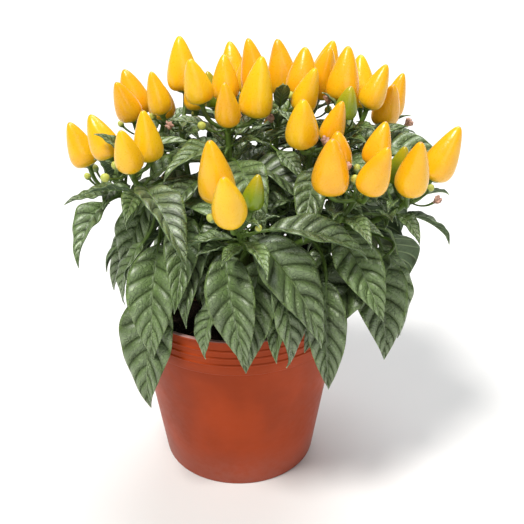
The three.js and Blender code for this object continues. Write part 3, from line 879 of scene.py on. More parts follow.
def clay_material(name):
    look = bpy.context.scene.chilli_pot
    surface = Surface(name, patch_size=0.03, contrast=0.7, Specular_IOR_Level=0.15)
    colour = surface.patchy(look.clay, scaled(look.clay, 0.82))
    height = surface.parts(surface.place)[2]
    dusty = surface.times(surface.rise(height, 0.03, 0.0), 0.25)
    colour = surface.mix(surface.times(dusty, surface.grain), colour, look.glint_and_dust)
    # Painted highlight: the rim's top edge is tinted pale, standing in for the light it reflects.
    glinting = surface.rise(height, (POT_HEIGHT - 0.7) * MM, (POT_HEIGHT - 0.1) * MM)
    glinting = surface.times(glinting, surface.line(surface.grain, 0.6, 0.4))
    colour = surface.mix(glinting, colour, look.glint_and_dust)
    return surface.finish(colour, rough=(0.22, 0.34), height=surface.grain, depth=0.00012)


# The pot's inner wall and floor, painted dark as shade.
def shaded_inside_material(name):
    look = bpy.context.scene.chilli_pot
    surface = Surface(name, patch_size=0.006, contrast=0.8)
    colour = surface.patchy(look.inside, scaled(look.inside, 2.2))
    return surface.finish(colour, rough=(0.3, 0.5), height=surface.grain, depth=0.0002)


def peat_material(name):
    look = bpy.context.scene.chilli_soil
    surface = Surface(name, patch_size=0.004, contrast=1.1, Specular_IOR_Level=0.25)
    sockets = {"Vector": surface.place, "Scale": 620.0}
    cells = surface.put("ShaderNodeTexVoronoi", sockets)["Distance"]
    speck = surface.times(surface.rise(cells, 0.22, 0.1), 0.5)
    colour = surface.mix(speck, surface.patchy(look.peat, look.crumb), look.fibre)
    height = surface.calc("ADD", surface.grain, cells)
    return surface.finish(colour, rough=(0.3, 0.68), height=height, depth=0.0009)


def fibre_material(name):
    look = bpy.context.scene.chilli_soil
    surface = Surface(name, patch_size=0.005, contrast=1.0, Specular_IOR_Level=0.3)
    return surface.finish(surface.patchy(scaled(look.fibre, 0.4), look.fibre), rough=(0.2, 0.7))


def bark_material(name):
    look = bpy.context.scene.chilli_foliage
    grained = {"patch_size": 0.0022, "contrast": 1.0, "stretch": (1.0, 1.0, 0.22)}
    surface = Surface(name, Specular_IOR_Level=0.35, **grained)
    low = surface.rise(surface.parts(surface.place)[2], 0.128, 0.1)
    corky = surface.times(low, surface.calc("ADD", surface.patches, 0.35))
    colour = surface.mix(corky, surface.patchy(look.stalk, scaled(look.stalk, 0.6)), look.bark)
    return surface.finish(colour, rough=(0.25, 0.42), height=surface.patches, depth=0.0003)


def stalk_material(name):
    look = bpy.context.scene.chilli_foliage
    surface = Surface(name, patch_size=0.005, contrast=0.9, Specular_IOR_Level=0.45)
    colour = surface.patchy(look.stalk, scaled(look.stalk, 0.5))
    return surface.finish(colour, rough=(0.2, 0.34), height=surface.grain, depth=0.00012)


def blade_top_material(name):
    look = bpy.context.scene.chilli_foliage
    gloss = {"Specular_IOR_Level": 0.9, "Specular_Tint": (0.9, 1, 0.72, 1)}
    coat = {"Coat_Roughness": 0.42, "Coat_IOR": 1.65}
    surface = Surface(name, patch_size=0.012, contrast=0.9, **gloss, **coat)
    veins, tone = surface.veins(), surface.attribute("blade_tone", "Fac")
    sockets = {"Vector": surface.place, "Scale": 380.0}
    cells = surface.put("ShaderNodeTexVoronoi", sockets, feature="DISTANCE_TO_EDGE")[0]
    net = surface.rise(cells, 0.16, 0.02)
    # Painted light: the swelling between the side veins is mixed towards the lighter green, besides
    # the random patches and each blade's tone.
    share = surface.line(surface.patches, 0.45, surface.times(veins["Swelling"], 0.4))
    share = surface.calc("ADD", share, surface.times(surface.rise(tone, 0.0, 1.0), 0.4))
    colour = surface.mix(share, look.deep_and_groove_shade, look.fresh_and_pillow_light)
    for mask, strength, paint in (
        (surface.rise(tone, 1.0, 2.0), 1.0, look.young),
        (net, 0.05, look.rib),
        # Painted shade: the side veins are darkened as in their sunken grooves.
        (veins["Veins"], 0.45, scaled(look.deep_and_groove_shade, 0.6, 0.75, 0.5)),
        (veins["Edge"], 0.45, look.young),
        (veins["Rib"], 0.45, look.rib),
    ):
        colour = surface.mix(surface.times(mask, strength), colour, paint)
    sheen = surface.times(veins["Swelling"], surface.line(surface.patches, 0.4, 0.9))
    surface.fill(surface.shader["Coat Weight"], sheen)
    uneven = surface.line(surface.calc("FRACT", surface.times(tone, 7.0)), 0.9, 0.35)
    height = surface.times(net, -0.4)
    for mask, strength in (
        (veins["Veins"], -0.3),
        (veins["Rib"], -0.5),
        (surface.grain, 0.25),
        (veins["Relief"], uneven),
    ):
        height = surface.line(mask, strength, height)
    rough = (0.18, surface.line(veins["Veins"], 0.25, 0.42))
    return surface.finish(colour, rough=rough, height=height, depth=0.0012)


def blade_under_material(name):
    look = bpy.context.scene.chilli_foliage
    surface = Surface(name, patch_size=0.01, contrast=0.8, Specular_IOR_Level=0.35)
    veins = surface.veins()
    colour = surface.patchy(look.under, scaled(look.under, 0.6))
    colour = surface.mix(surface.times(veins["Veins"], 0.6), colour, look.rib)
    colour = surface.mix(veins["Rib"], colour, look.rib)
    height = surface.line(veins["Veins"], 0.7, surface.grain)
    return surface.finish(colour, rough=(0.2, 0.5), height=height, depth=0.0004)


def skin_material(name, unripe=False):
    """A pepper's skin: its place attribute is x along the fruit and y how ripe it is."""
    look = bpy.context.scene.chilli_fruit
    coat = {"Coat_Roughness": 0.18, "Coat_Weight": 0.2}
    surface = Surface(name, patch_size=0.009, contrast=0.8, Specular_IOR_Level=0.45, **coat)
    along, ripeness, _ = surface.parts(surface.attribute("fruit_place"))
    share = surface.line(surface.patches, 0.3, surface.times(ripeness, 0.7))
    if unripe:
        colour = surface.mix(share, look.green, scaled(look.green, 0.45))
        yellowish = surface.times(surface.rise(along, 0.35, 1.0), 0.35)
        colour = surface.mix(yellowish, colour, look.yellow)
    else:
        colour = surface.mix(share, look.yellow, look.orange)
        greenish = surface.times(surface.rise(along, 0.16, 0.0), 0.4)
        colour = surface.mix(greenish, colour, look.green)
    tip = surface.times(surface.rise(along, 0.985, 1.0), 0.7)
    colour = surface.mix(tip, colour, look.withered)
    return surface.finish(colour, rough=(0.14, 0.22), height=surface.grain, depth=0.00015)


def unripe_material(name):
    return skin_material(name, unripe=True)


def bud_material(name):
    foliage = bpy.context.scene.chilli_foliage
    surface = Surface(name, patch_size=0.002, contrast=0.8, Roughness=0.4)
    open_end = surface.rise(surface.parts(surface.attribute("fruit_place"))[0], 0.25, 0.5)
    green = surface.patchy(foliage.stalk, foliage.rib)
    colour = surface.mix(open_end, green, bpy.context.scene.chilli_fruit.bud)
    return surface.finish(colour, height=surface.grain, depth=0.0001)


def withered_material(name):
    brown = bpy.context.scene.chilli_fruit.withered
    surface = Surface(name, patch_size=0.0015, contrast=1.1, Specular_IOR_Level=0.2)
    colour = surface.patchy(brown, [min(1, part) for part in scaled(brown, 2.2)])
    return surface.finish(colour, rough=(0.2, 0.65), height=surface.patches, depth=0.0003)


# Pieces


def below_rim(level, pairs):
    """Points of the pot's section: how far inside the rim's edge and above a level each lies."""
    return [(RIM_RADIUS - inwards, level + up) for inwards, up in pairs]


def pot_profile(look):
    """Half the pot's section, from the middle of its foot up the outside and down the inside."""
    collar_foot = POT_HEIGHT - COLLAR_HEIGHT
    section = [(0, 0), (27, 0), (28, 2), (36, 2), (37, 0)]
    section += [(FOOT_RADIUS - 1, 0), (FOOT_RADIUS - 0.3, 0.3), (FOOT_RADIUS, 1.2)]
    section += below_rim(collar_foot, [(5.5, -1), (4.7, -0.5), (2.8, 0.4), (2.4, 1)])
    lower, upper = collar_foot + 4.5, POT_HEIGHT - 4.5
    for i in range(look.ribs):
        z = lower + (upper - lower) * (i + 0.5) / look.ribs
        wall = RIM_RADIUS - 2.4 + 1.4 * (z - collar_foot - 1) / (COLLAR_HEIGHT - 2.6)
        for offset, share in ((-0.8, 0), (-0.45, 0.75), (0, 1), (0.45, 0.75), (0.8, 0)):
            section.append((wall + share * look.rib_height / MM, z + offset))
    rim = [(1, -1.6), (0.3, -1.3), (0, -0.9), (0.1, -0.25), (0.5, 0), (1.8, 0), (2.2, -0.4)]
    section += below_rim(POT_HEIGHT, rim)
    section += below_rim(collar_foot, [(3.9, 2.2), (5.5 + WALL, -1)])
    return section + [(FOOT_RADIUS - WALL, 3.6), (0, 3.6)]


def spin_profile(bm, profile, sides):
    """A closed round body from its half section."""
    verts = [bm.verts.new((r, 0, z)) for r, z in profile]
    edges = [bm.edges.new(pair) for pair in zip(verts, verts[1:])]
    round_z = {"cent": (0, 0, 0), "axis": (0, 0, 1), "angle": 2 * math.pi}
    bmesh.ops.spin(bm, geom=verts + edges, steps=sides, use_merge=True, **round_z)
    bmesh.ops.remove_doubles(bm, verts=bm.verts, dist=WELD)
    bmesh.ops.recalc_face_normals(bm, faces=bm.faces)


class CHILLI_OT_pot(bpy.types.Operator):
    """Ribbed nursery pot with a collar, drain holes, and an inside painted dark as shade"""

    bl_idname = "chilli.pot"
    bl_label = "Pot"

    def execute(self, context):
        look = context.scene.chilli_pot
        bm = bmesh.new()
        spin_profile(bm, pot_profile(look), POT_SIDES)
        # Faces inside the pot take the second material, which is painted dark as shade.
        for face in bm.faces:
            middle, normal = face.calc_center_median(), face.normal
            inner_wall = middle.x * normal.x + middle.y * normal.y < 0 and middle.z > 4
            inner_floor = 3 < middle.z < 9 and normal.z > 0.9
            face.material_index = int(inner_wall or inner_floor)
        clay = known_material("pot_wall", clay_material)
        dark = known_material("pot_inside", shaded_inside_material)
        pot = finish_piece(bm, "ribbed_pot", "terracotta_plastic", [clay, dark], ["pot"], sharp=32)
        self.cut_drain_holes(pot)
        return {"FINISHED"}

    @staticmethod
    def cut_drain_holes(pot):
        bm = bmesh.new()
        radius = DRAIN_RADIUS * MM
        for i in range(DRAIN_HOLES):
            turn = Matrix.Rotation(2 * math.pi * i / DRAIN_HOLES, 4, "Z")
            place = turn @ Matrix.Translation((DRAIN_RING * MM, 0, 2 * MM))
            size = {"radius1": radius, "radius2": radius, "depth": 8 * MM}
            bmesh.ops.create_cone(bm, cap_ends=True, segments=24, matrix=place, **size)
        drills = new_object("drills", new_mesh(bm, "drills"))
        cut = pot.modifiers.new("drain holes", "BOOLEAN")
        cut.operation, cut.object, cut.solver = "DIFFERENCE", drills, "EXACT"
        bpy.context.view_layer.update()
        shown = pot.evaluated_get(bpy.context.evaluated_depsgraph_get())
        drilled = bpy.data.meshes.new_from_object(shown)
        pot.modifiers.remove(cut)
        unused = [drills.data, pot.data]
        pot.data = drilled
        drilled.name = "ribbed_pot"
        bpy.data.objects.remove(drills)
        for mesh in unused:
            bpy.data.meshes.remove(mesh)


def soil_height(x, y):
    """The soil's level at a place: a low crown towards the stem, lumps and fine unevenness."""
    r = math.hypot(x, y)
    lumps = 0
    for share, layer, size in ((1, 0, 13), (0.5, 5, 4.5), (0.25, 9, 1.8)):
        lumps += share * noise.noise(Vector((x, y, layer)) / size)
    relief = bpy.context.scene.chilli_soil.relief / MM
    return SOIL_LEVEL + 1 - 1.6 * (r / 55) ** 2 + relief * lumps


class CHILLI_OT_soil(bpy.types.Operator):
    """Potting soil with its lumps, loose crumbs and fibres"""

    bl_idname = "chilli.soil"
    bl_label = "Potting soil"

    def execute(self, context):
        look = context.scene.chilli_soil
        peat = known_material("peat", peat_material)
        wall = RIM_RADIUS - 3.9 - FIT_GAP
        neck = RIM_RADIUS - 5.5 - WALL - FIT_GAP
        step = POT_HEIGHT - COLLAR_HEIGHT
        below = [(0, 4), (FOOT_RADIUS - WALL - FIT_GAP, 4), (neck, step - 0.8), (wall, step + 2.5)]
        above = [(wall * math.sqrt(1 - (i / 40)), SOIL_LEVEL) for i in range(41)]
        bm = bmesh.new()
        spin_profile(bm, below + above, SOIL_SIDES)
        for vert in bm.verts:
            if vert.co.z > SOIL_LEVEL - 1:
                vert.co.z = soil_height(vert.co.x, vert.co.y)
        finish_piece(bm, "soil_body", "soil", [peat], ["potting_soil"], sharp=60)
        chance = Draws(seed=11)
        self.add_crumbs(chance, look.crumbs, peat)
        self.add_fibres(chance, look.fibres)
        return {"FINISHED"}

    @staticmethod
    def add_crumbs(chance, count, peat):
        bm = bmesh.new()
        for _ in range(count):
            r = CRUMB_REACH * math.sqrt(chance.between(0, 1))
            turn = chance.between(0, FULL_TURN)
            x, y = r * math.cos(turn), r * math.sin(turn)
            size = 0.45 + 1.3 * chance.between(0, 1) ** 3
            spin = Matrix.Rotation(chance.between(0, FULL_TURN), 4, "Z")
            tip = Matrix.Rotation(chance.between(-0.6, 0.6), 4, "X")
            form = Matrix.Diagonal((1, chance.between(0.6, 1), chance.between(0.45, 0.8), 1))
            where = Matrix.Translation((x, y, soil_height(x, y) + size * 0.2))
            place = where @ spin @ tip @ form
            grown = bmesh.ops.create_icosphere(bm, subdivisions=1, radius=size, matrix=place)
            for vert in grown["verts"]:
                vert.co += Vector([chance.between(-0.16, 0.16) * size for _ in range(3)])
        finish_piece(bm, "soil_crumbs", "soil", [peat])

    @staticmethod
    def add_fibres(chance, count):
        bm = bmesh.new()
        for _ in range(count):
            r = FIBRE_REACH * math.sqrt(chance.between(0, 1))
            heading, turn = chance.between(0, FULL_TURN), chance.between(0, FULL_TURN)
            x, y = r * math.cos(turn), r * math.sin(turn)
            step, curl = chance.between(6, 20) / 10, chance.between(-1.6, 1.6)
            hump, points = chance.between(0.2, 1.8), []
            for k in range(11):
                lift = 0.2 + hump * math.sin(math.pi * k / 10)
                points.append((x, y, soil_height(x, y) + lift))
                heading += curl / 10
                x_next, y_next = x + step * math.cos(heading), y + step * math.sin(heading)
                if math.hypot(x_next, y_next) > CRUMB_REACH:
                    break
                x, y = x_next, y_next
            if len(points) > 4:
                radii = chance.between(0.16, 0.34) * np.linspace(1, 0.5, len(points))
                add_tube(bm, np.array(points), radii, sides=5)
        finish_piece(bm, "soil_fibres", "soil", [known_material("soil_fibre", fibre_material)])


PLANT = Plant()


def limb_radii(start, end, count, swell_start=0.0, swell_end=0.0):
    """Radii along a limb, swollen towards the forks at its ends."""
    t = np.linspace(0, 1, count)
    swelling = swell_start * np.exp(-t * 14) + swell_end * np.exp((t - 1) * 14)
    return start + (end - start) * t + swelling


class CHILLI_OT_stem(bpy.types.Operator):
    """Main stem and the branches that fork from it"""

    bl_idname = "chilli.stem"
    bl_label = "Main stem"

    def execute(self, context):
        bm = bmesh.new()
        t = np.linspace(0, 1, 26)
        radii = limb_radii(STEM_RADIUS, STEM_RADIUS - 0.9, 26, 0.5, 0.5)
        add_tube(bm, PLANT.stem.at(t), radii, sides=30, ridge=0.035)
        for branch in PLANT.branches:
            radii = limb_radii(BRANCH_RADIUS, BRANCH_RADIUS - 0.4, 16, 0.5, 0.5)
            add_tube(bm, branch.at(np.linspace(0, 1, 16)), radii, sides=20, ridge=0.03)
        bark = known_material("stem_skin", bark_material)
        finish_piece(bm, "forked_stem", "stem", [bark], ["main_stem"])
        return {"FINISHED"}


def sprout_leaves(shoot, chance):
    """Small young leaves round a shoot's tip, where there is room for them; the last tries are
    smaller, and the upper half of the leaves stands more upright."""
    found = []
    for k in range(SPROUTS_A_SHOOT):
        for attempt in range(SPROUT_TRIES):
            long = chance.between(17, 34) * (1 if attempt < SPROUT_TRIES / 2 else 0.65)
            form = {
                "sway": chance.between(-0.1, 0.1),
                "roll": chance.between(-0.4, 0.4),
                "fold": chance.between(0.35, 0.6),
                "wave": chance.between(0.3, 0.8),
                "phase": chance.between(0, PHASES),
                "width": long * chance.between(0.38, 0.46),
            }
            upright = 0.5 * (k < SPROUTS_A_SHOOT / 2)
            heading, rise = chance.between(0, FULL_TURN), chance.between(0.2, 0.85) + upright
            stalk, droop = chance.between(4, 8), chance.between(0.3, 0.9)
            root = shoot.at(0.99 - 0.035 * k)
            base = root + pointing(heading, rise) * stalk
            bend = root + pointing(heading, rise + 0.2) * stalk * 0.5
            leaf = Leaf(form, root=root, base=base, bend=bend, heading=heading, droop=droop)
            leaf.rise, leaf.length, leaf.young = rise - 0.1, long, True
            on_blade = leaf.balls()[2]
            if is_allowed(on_blade) and PLANT.room.is_free(on_blade):
                PLANT.room.mark(on_blade, 0.3)
                found.append(leaf)
                break
    return found


def inner_leaves():
    """Small leaves in the gaps inside the crown, as one list for each shoot."""
    grown = [len(shoot.leaves) for shoot in PLANT.shoots]
    for i in range(INNER_SPOTS):
        depth = 0.5 + 0.48 * ((0.7549 * i) % 1)
        height = 0.1 + 0.85 * ((DOME_STEP * i) % 1)
        PLANT.grow_dome_leaf(DOME_TURN * i, height, 0.5, depth)
    found = []
    for shoot, count in zip(PLANT.shoots, grown):
        found.append(shoot.leaves[count:])
        del shoot.leaves[count:]
    return found


def blade_points(leaf, row, w, quilt):
    """Points of a finely modelled blade; row is the place along the blade at the middle rib, from
    where the side veins run forwards to the edge. It keeps the CAD blade's fold, roll and waves."""
    aside = np.abs(w)
    t = row + VEIN_SLANT * aside**1.2 * np.sin(np.pi * row)
    at, across, face = leaf.axes(t)
    shape = blade_shape(t)
    half = leaf.width * 0.5 * shape + 0.5 * (1 - t) ** 6
    fold = leaf.fold * np.minimum(1, t * 8)
    crease = 1.3 * (np.sqrt(aside**2 + 0.006) - 0.0775) - 0.35 * aside**2
    wave = leaf.wave * w * w * np.sin(8.5 * t + leaf.phase + w) * shape
    ripple = 0.55 * aside**3 * np.sin(24 * t + 3 * leaf.phase) * shape
    phase = (row * VEINS + 0.5 * (w > 0)) % 1
    swell = quilt * np.sin(np.pi * phase) ** 0.8 * aside / (aside + 0.15) * (1 - aside**4)
    swell *= half / 12 * np.minimum(1, (1 - t) * 6)
    nod = -0.035 * leaf.length * np.clip((t - 0.8) / 0.2, 0, 1) ** 2
    lift = crease * half * np.sin(fold) + wave + ripple + swell + nod
    points = at + across * (w * half * np.cos(fold))[:, None] + face * lift[:, None]
    return points, half


def add_blade(bm, leaf, tone, quilt):
    """One blade, whose points carry their place on it and its tone."""
    place_layer = bm.verts.layers.float_vector["blade_place"]
    tone_layer = bm.verts.layers.float["blade_tone"]
    fine = leaf.length > LARGE_BLADE
    rows = VEINS * (ROWS_A_VEIN if fine else ROWS_A_VEIN // 2)
    columns = BLADE_COLUMNS if fine else BLADE_COLUMNS // 2 + 1
    verts = bmesh.ops.create_grid(bm, x_segments=columns, y_segments=rows, size=1)["verts"]
    flat = np.array([v.co for v in verts])
    w, row = flat[:, 0], (flat[:, 1] + 1) / 2
    points, half = blade_points(leaf, row, w, quilt)
    for vert, point, place in zip(verts, points, zip(row, w, half)):
        vert.co = point
        vert[place_layer] = place
        vert[tone_layer] = tone
    bmesh.ops.remove_doubles(bm, verts=verts, dist=2 * WELD)


def add_leaf_stalk(bm, leaf):
    """A leaf's stalk, which runs on under the blade as its middle rib."""
    s = np.concatenate([np.linspace(-1, 0, 10)[:-1], np.linspace(0, 0.95, 15)])
    at, _, face = leaf.axes(s)
    thick = THICK_STALK if leaf.length > THICK_FROM else THIN_STALK
    on_stalk = thick + 0.55 * thick * np.exp(-(s + 1) * 9)
    radii = np.where(s < 0, on_stalk, thick * (1 - np.clip(s, 0, 1)) ** 0.8)
    sink = np.where(s < 0, 0.0, 0.3 * radii)
    add_tube(bm, at - face * sink[:, None], radii, sides=8)


def add_fruit_stalk(bm, fruit):
    """A fruit's stalk with the toothed calyx that holds the fruit's foot."""
    base, axis = fruit["base"], fruit["axis"]
    neck = Limb(fruit["stalk"].start, fruit["stalk"].bend, base - axis * 1.5)
    t = np.linspace(0, 1, 12)
    points = np.vstack([neck.at(t), base - axis * 0.4])
    add_tube(bm, points, np.append(0.95 + 0.35 * t**2, 1.6), sides=10, ridge=0.03)
    wide = fruit["radius"] * 0.56
    radii = [1.3, 1.6, wide * 0.75, wide, wide * 1.02, wide * 0.6, 0]
    heights = [-2.2, -1.3, -0.5, 0.3, 0.6, 0.5, 0.4]
    toothed = np.array([0, 0, 0, 0.4, 1, 0.3, 0])

    def tooth(turn, ring):
        return toothed[ring] * np.maximum(0, np.cos(5 * turn)) ** 2

    def growth(turn, ring):
        return 0.05 * tooth(turn, ring)

    def lift(turn, ring):
        return 0.7 * tooth(turn, ring)

    add_rings(bm, 30, base, axis, [radii, heights], growth, lift)


class CHILLI_OT_shoots(bpy.types.Operator):
    """Leafy shoots: blades with their veins, leaf stalks, and fruit stalks with calyxes"""

    bl_idname = "chilli.shoots"
    bl_label = "Leafy shoots"

    def execute(self, context):
        look = context.scene.chilli_foliage
        top = known_material("blade_top", blade_top_material)
        under = known_material("blade_under", blade_under_material)
        stalk = known_material("green_stalk", stalk_material)
        chance = Draws(seed=23)
        inner = inner_leaves()
        for index, shoot in enumerate(PLANT.shoots):
            node = f"leafy_shoot_{index + 1:02d}"
            leaves = shoot.leaves + inner[index] + sprout_leaves(shoot, chance)
            blades, stems = bmesh.new(), bmesh.new()
            blades.verts.layers.float_vector.new("blade_place")
            blades.verts.layers.float.new("blade_tone")
            radii = limb_radii(SHOOT_RADIUS, TIP_RADIUS, 18, 0.2, 0.5)
            add_tube(stems, shoot.at(np.linspace(0.02, 1, 18)), radii, sides=15, ridge=0.03)
            for leaf in leaves:
                tone = chance.between(0, 1) + (chance.between(0.3, 0.8) if leaf.young else 0)
                add_blade(blades, leaf, tone, look.quilt / MM)
                add_leaf_stalk(stems, leaf)
            for fruit in shoot.fruits:
                add_fruit_stalk(stems, fruit)
            name = f"shoot_{index + 1:02d}"
            piece = finish_piece(blades, name + "_blades", "foliage", [under, top], [node])
            shell = piece.modifiers.new("blade thickness", "SOLIDIFY")
            shell.thickness, shell.offset, shell.material_offset = look.thickness, 0, 1
            finish_piece(stems, name + "_stalks", "stem", [stalk], [node])
        return {"FINISHED"}


def add_pepper(bm, fruit, ripeness, chance, lobes):
    """A fruit's skin, with lobes in twos, threes and fives round it."""
    layer = bm.verts.layers.float_vector["fruit_place"]
    side, up = axes_from(fruit["axis"])
    verts = bmesh.ops.create_uvsphere(bm, u_segments=32, v_segments=26, radius=1)["verts"]
    ball = np.array([v.co for v in verts])
    t = (1 + ball[:, 2]) / 2
    turn = np.arctan2(ball[:, 1], ball[:, 0])
    shifts = [chance.between(0, FULL_TURN) for _ in range(3)]
    uneven = 0.5 * np.cos(2 * turn + shifts[0])
    uneven += np.cos(3 * turn + shifts[1] + t) * (1 - t)
    uneven += 0.35 * np.cos(5 * turn + shifts[2] + 2 * t)
    r = fruit["radius"] * fruit_profile(np.clip(t, 0, 1)) * (1 + lobes * uneven)
    points = fruit_axis(fruit, t) + spokes(side, up, turn) * r[:, None]
    for vert, point, share in zip(verts, points, t):
        vert.co = point
        vert[layer] = (share, ripeness, 0)


class CHILLI_OT_peppers(bpy.types.Operator):
    """Ripe and unripe peppers, glossy and slightly lobed"""

    bl_idname = "chilli.peppers"
    bl_label = "Peppers"

    def execute(self, context):
        look = context.scene.chilli_fruit
        ripe = known_material("ripe_skin", skin_material)
        unripe = known_material("unripe_skin", unripe_material)
        kinds = [("peppers", "ripe_fruit", ripe), ("green_pepper", "unripe_fruit", unripe)]
        chance = Draws(seed=31)
        for index, shoot in enumerate(PLANT.shoots):
            for green, (label, slot, material) in enumerate(kinds):
                chosen = [(k, f) for k, f in enumerate(shoot.fruits) if f["green"] == green]
                if not chosen:
                    continue
                bm = bmesh.new()
                bm.verts.layers.float_vector.new("fruit_place")
                for _, fruit in chosen:
                    add_pepper(bm, fruit, chance.between(0, 1), chance, look.lobes)
                nodes = [f"pepper_{index + 1:02d}_{k + 1}" for k, _ in chosen]
                finish_piece(bm, f"{label}_{index + 1:02d}", slot, [material], nodes)
        return {"FINISHED"}


class CHILLI_OT_sprigs(bpy.types.Operator):
    """Flower buds and withered flowers on thin stalks round the shoots' tips"""

    bl_idname = "chilli.sprigs"
    bl_label = "Buds and withered flowers"

    def execute(self, context):
        chance = Draws(seed=47)
        stems, buds, dry = bmesh.new(), bmesh.new(), bmesh.new()
        buds.verts.layers.float_vector.new("fruit_place")
        t = np.linspace(0, 1, 9)
        for shoot in PLANT.shoots:
            for k in range(SPRIGS_A_SHOOT):
                stalk = self.find_room(shoot, chance)
                if stalk is None:
                    continue
                add_tube(stems, stalk.at(t), 0.42 + 0.3 * t**4, sides=7)
                axis = unit(stalk.end - stalk.bend)
                if k == SPRIGS_A_SHOOT - 1:
                    self.add_withered(dry, stalk.end, axis, chance)
                else:
                    self.add_bud(buds, stalk.end, axis, chance.between(1.5, 2.2))
        green = known_material("green_stalk", stalk_material)
        bud = known_material("bud_skin", bud_material)
        petals = known_material("withered_petals", withered_material)
        finish_piece(stems, "sprig_stalks", "stem", [green])
        finish_piece(buds, "flower_buds", "foliage", [bud])
        finish_piece(dry, "withered_flowers", "foliage", [petals])
        return {"FINISHED"}

    @staticmethod
    def find_room(shoot, chance):
        """A thin stalk near the shoot's tip whose outer half is free, or none."""
        for _ in range(SPRIG_TRIES):
            heading, rise = chance.between(0, FULL_TURN), chance.between(-0.1, 1.2)
            length = chance.between(9, 17)
            root = shoot.at(chance.between(0.9, 1))
            end = root + pointing(heading, rise) * length
            bend = root + pointing(heading, rise - 0.5) * length * 0.55
            stalk = Limb(root, bend, end)
            far = stalk.at(np.linspace(0.5, 1, 6))
            far = np.vstack([far, end + unit(end - bend) * 2.5])
            if is_allowed(far) and PLANT.room.is_free(far):
                PLANT.room.mark(far, 0.8)
                return stalk
        return None

    @staticmethod
    def add_bud(bm, foot, axis, radius):
        layer = bm.verts.layers.float_vector["fruit_place"]
        turn = Vector(UP).rotation_difference(Vector(axis)).to_matrix().to_4x4()
        middle = Matrix.Translation(Vector(foot + axis * radius))
        place = middle @ turn @ Matrix.Diagonal((1, 1, 1.25, 1))
        sizes = {"u_segments": 14, "v_segments": 10, "radius": radius}
        for vert in bmesh.ops.create_uvsphere(bm, matrix=place, **sizes)["verts"]:
            along = (Vector(vert.co) - Vector(foot)).dot(Vector(axis)) / (2.2 * radius)
            vert[layer] = (along, 0, 0)

    @staticmethod
    def add_withered(bm, foot, axis, chance):
        """Five shrivelled petals that hang together."""
        radii = np.array([0.5, 0.9, 1.5, 2.1, 1.6, 0.8, 0]) * chance.between(0.8, 1.1)
        heights = [-0.3, 0.8, 1.8, 3.2, 4.3, 3.6, 2.8]
        shift = chance.between(0, PHASES)

        def growth(turn, ring):
            petals = 0.3 * np.cos(5 * turn + 0.4 * ring)
            return petals + 0.2 * np.sin(3 * turn + shift + ring)

        def lift(turn, ring):
            return 0.5 * np.sin(4 * turn + shift) * (ring > 1)

        add_rings(bm, 20, foot, axis, [radii, heights], growth, lift)


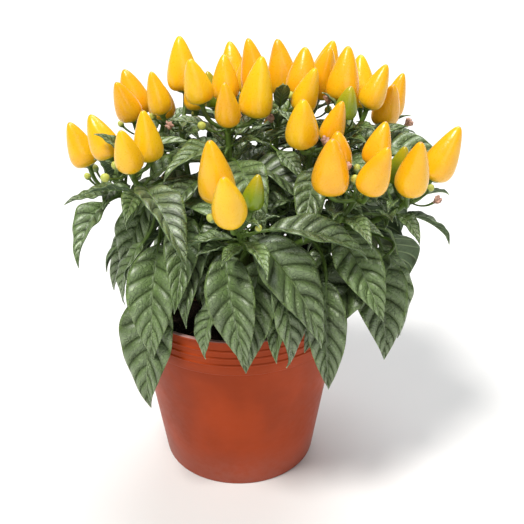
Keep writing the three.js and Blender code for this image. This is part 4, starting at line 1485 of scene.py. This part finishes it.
class CHILLI_OT_stage(bpy.types.Operator):
    """Pale floor, soft lights and the camera"""

    bl_idname = "chilli.stage"
    bl_label = "Stage"

    def execute(self, context):
        look = context.scene.chilli_stage
        key = look.key_strength
        self.add_floor(look)
        self.add_light("key_light", (-0.42, -0.5, 1.38), 15, key, (1, 0.98, 0.95))
        self.add_light("top_light", (0.2, 0.6, 1.25), 45, key * 0.75, (0.95, 0.98, 1))
        self.add_light("fill_light", (0.5, -1.2, 0.6), 40, key * 0.17, (1, 1, 1))
        world = bpy.data.worlds.new("studio")
        world.use_nodes = True
        background = next(n for n in world.node_tree.nodes if n.type == "BACKGROUND")
        background.inputs["Color"].default_value = (0.93, 0.96, 1, 1)
        background.inputs["Strength"].default_value = 0.2
        context.scene.world = world
        context.scene.view_settings.view_transform = "Standard"
        self.add_camera(context, look)
        return {"FINISHED"}

    @staticmethod
    def add_floor(look):
        bm = bmesh.new()
        bmesh.ops.create_circle(bm, cap_ends=True, radius=FLOOR_RADIUS_IN_METRES, segments=96)
        mesh = new_mesh(bm, "floor")
        surface = Surface("pale_floor", patch_size=0.4, contrast=0.5, Roughness=0.75)
        colour = surface.patchy(look.floor, scaled(look.floor, 0.96))
        mesh.materials.append(surface.finish(colour))
        floor = new_object("floor", mesh)

    @staticmethod
    def add_light(name, side, spread, strength, colour):
        """A wide, soft light from a side; spread is how wide it looks, in degrees."""
        light = bpy.data.lights.new(name, "SUN")
        light.angle, light.energy, light.color = math.radians(spread), strength, colour
        lamp = new_object(name, light)
        lamp.location = side
        lamp.rotation_euler = (-Vector(side)).to_track_quat("-Z", "Y").to_euler()

    @staticmethod
    def add_camera(context, look):
        """The camera looks at the middle of the plant's box."""
        camera = bpy.data.cameras.new("camera")
        camera.lens, camera.clip_start, camera.clip_end = look.lens, 0.01, 100
        viewer = new_object("camera", camera)
        back = Vector(pointing(look.azimuth - math.pi / 2, look.elevation))
        viewer.location = Vector(np.mean(CAD_BOX, axis=0)) + back * look.distance
        viewer.rotation_euler = (-back).to_track_quat("-Z", "Y").to_euler()
        context.scene.camera = viewer


PIECES = [
    CHILLI_OT_stage,
    CHILLI_OT_pot,
    CHILLI_OT_soil,
    CHILLI_OT_stem,
    CHILLI_OT_shoots,
    CHILLI_OT_peppers,
    CHILLI_OT_sprigs,
]


class CHILLI_PT_panel(bpy.types.Panel):
    """Sizes, colours and pieces of the plant"""

    bl_label = "Chilli plant"
    bl_idname = "CHILLI_PT_panel"
    bl_space_type = "VIEW_3D"
    bl_region_type = "UI"
    bl_category = "Chilli plant"

    def draw(self, context):
        for key, group in SETTINGS.items():
            box = self.layout.box()
            for setting in group.__annotations__:
                box.prop(getattr(context.scene, key), setting)
        for piece in PIECES:
            self.layout.operator(piece.bl_idname)


def register():
    for key, group in SETTINGS.items():
        bpy.utils.register_class(group)
        setattr(bpy.types.Scene, key, PointerProperty(type=group))
    for kind in PIECES + [CHILLI_PT_panel]:
        bpy.utils.register_class(kind)


def unregister():
    for kind in reversed(PIECES + [CHILLI_PT_panel]):
        bpy.utils.unregister_class(kind)
    for key, group in SETTINGS.items():
        delattr(bpy.types.Scene, key)
        bpy.utils.unregister_class(group)


def main():
    register()
    bpy.ops.chilli.stage()
    bpy.ops.chilli.pot()
    bpy.ops.chilli.soil()
    bpy.ops.chilli.stem()
    bpy.ops.chilli.shoots()
    bpy.ops.chilli.peppers()
    bpy.ops.chilli.sprigs()
    bpy.context.view_layer.update()


if __name__ == "__main__":
    main()
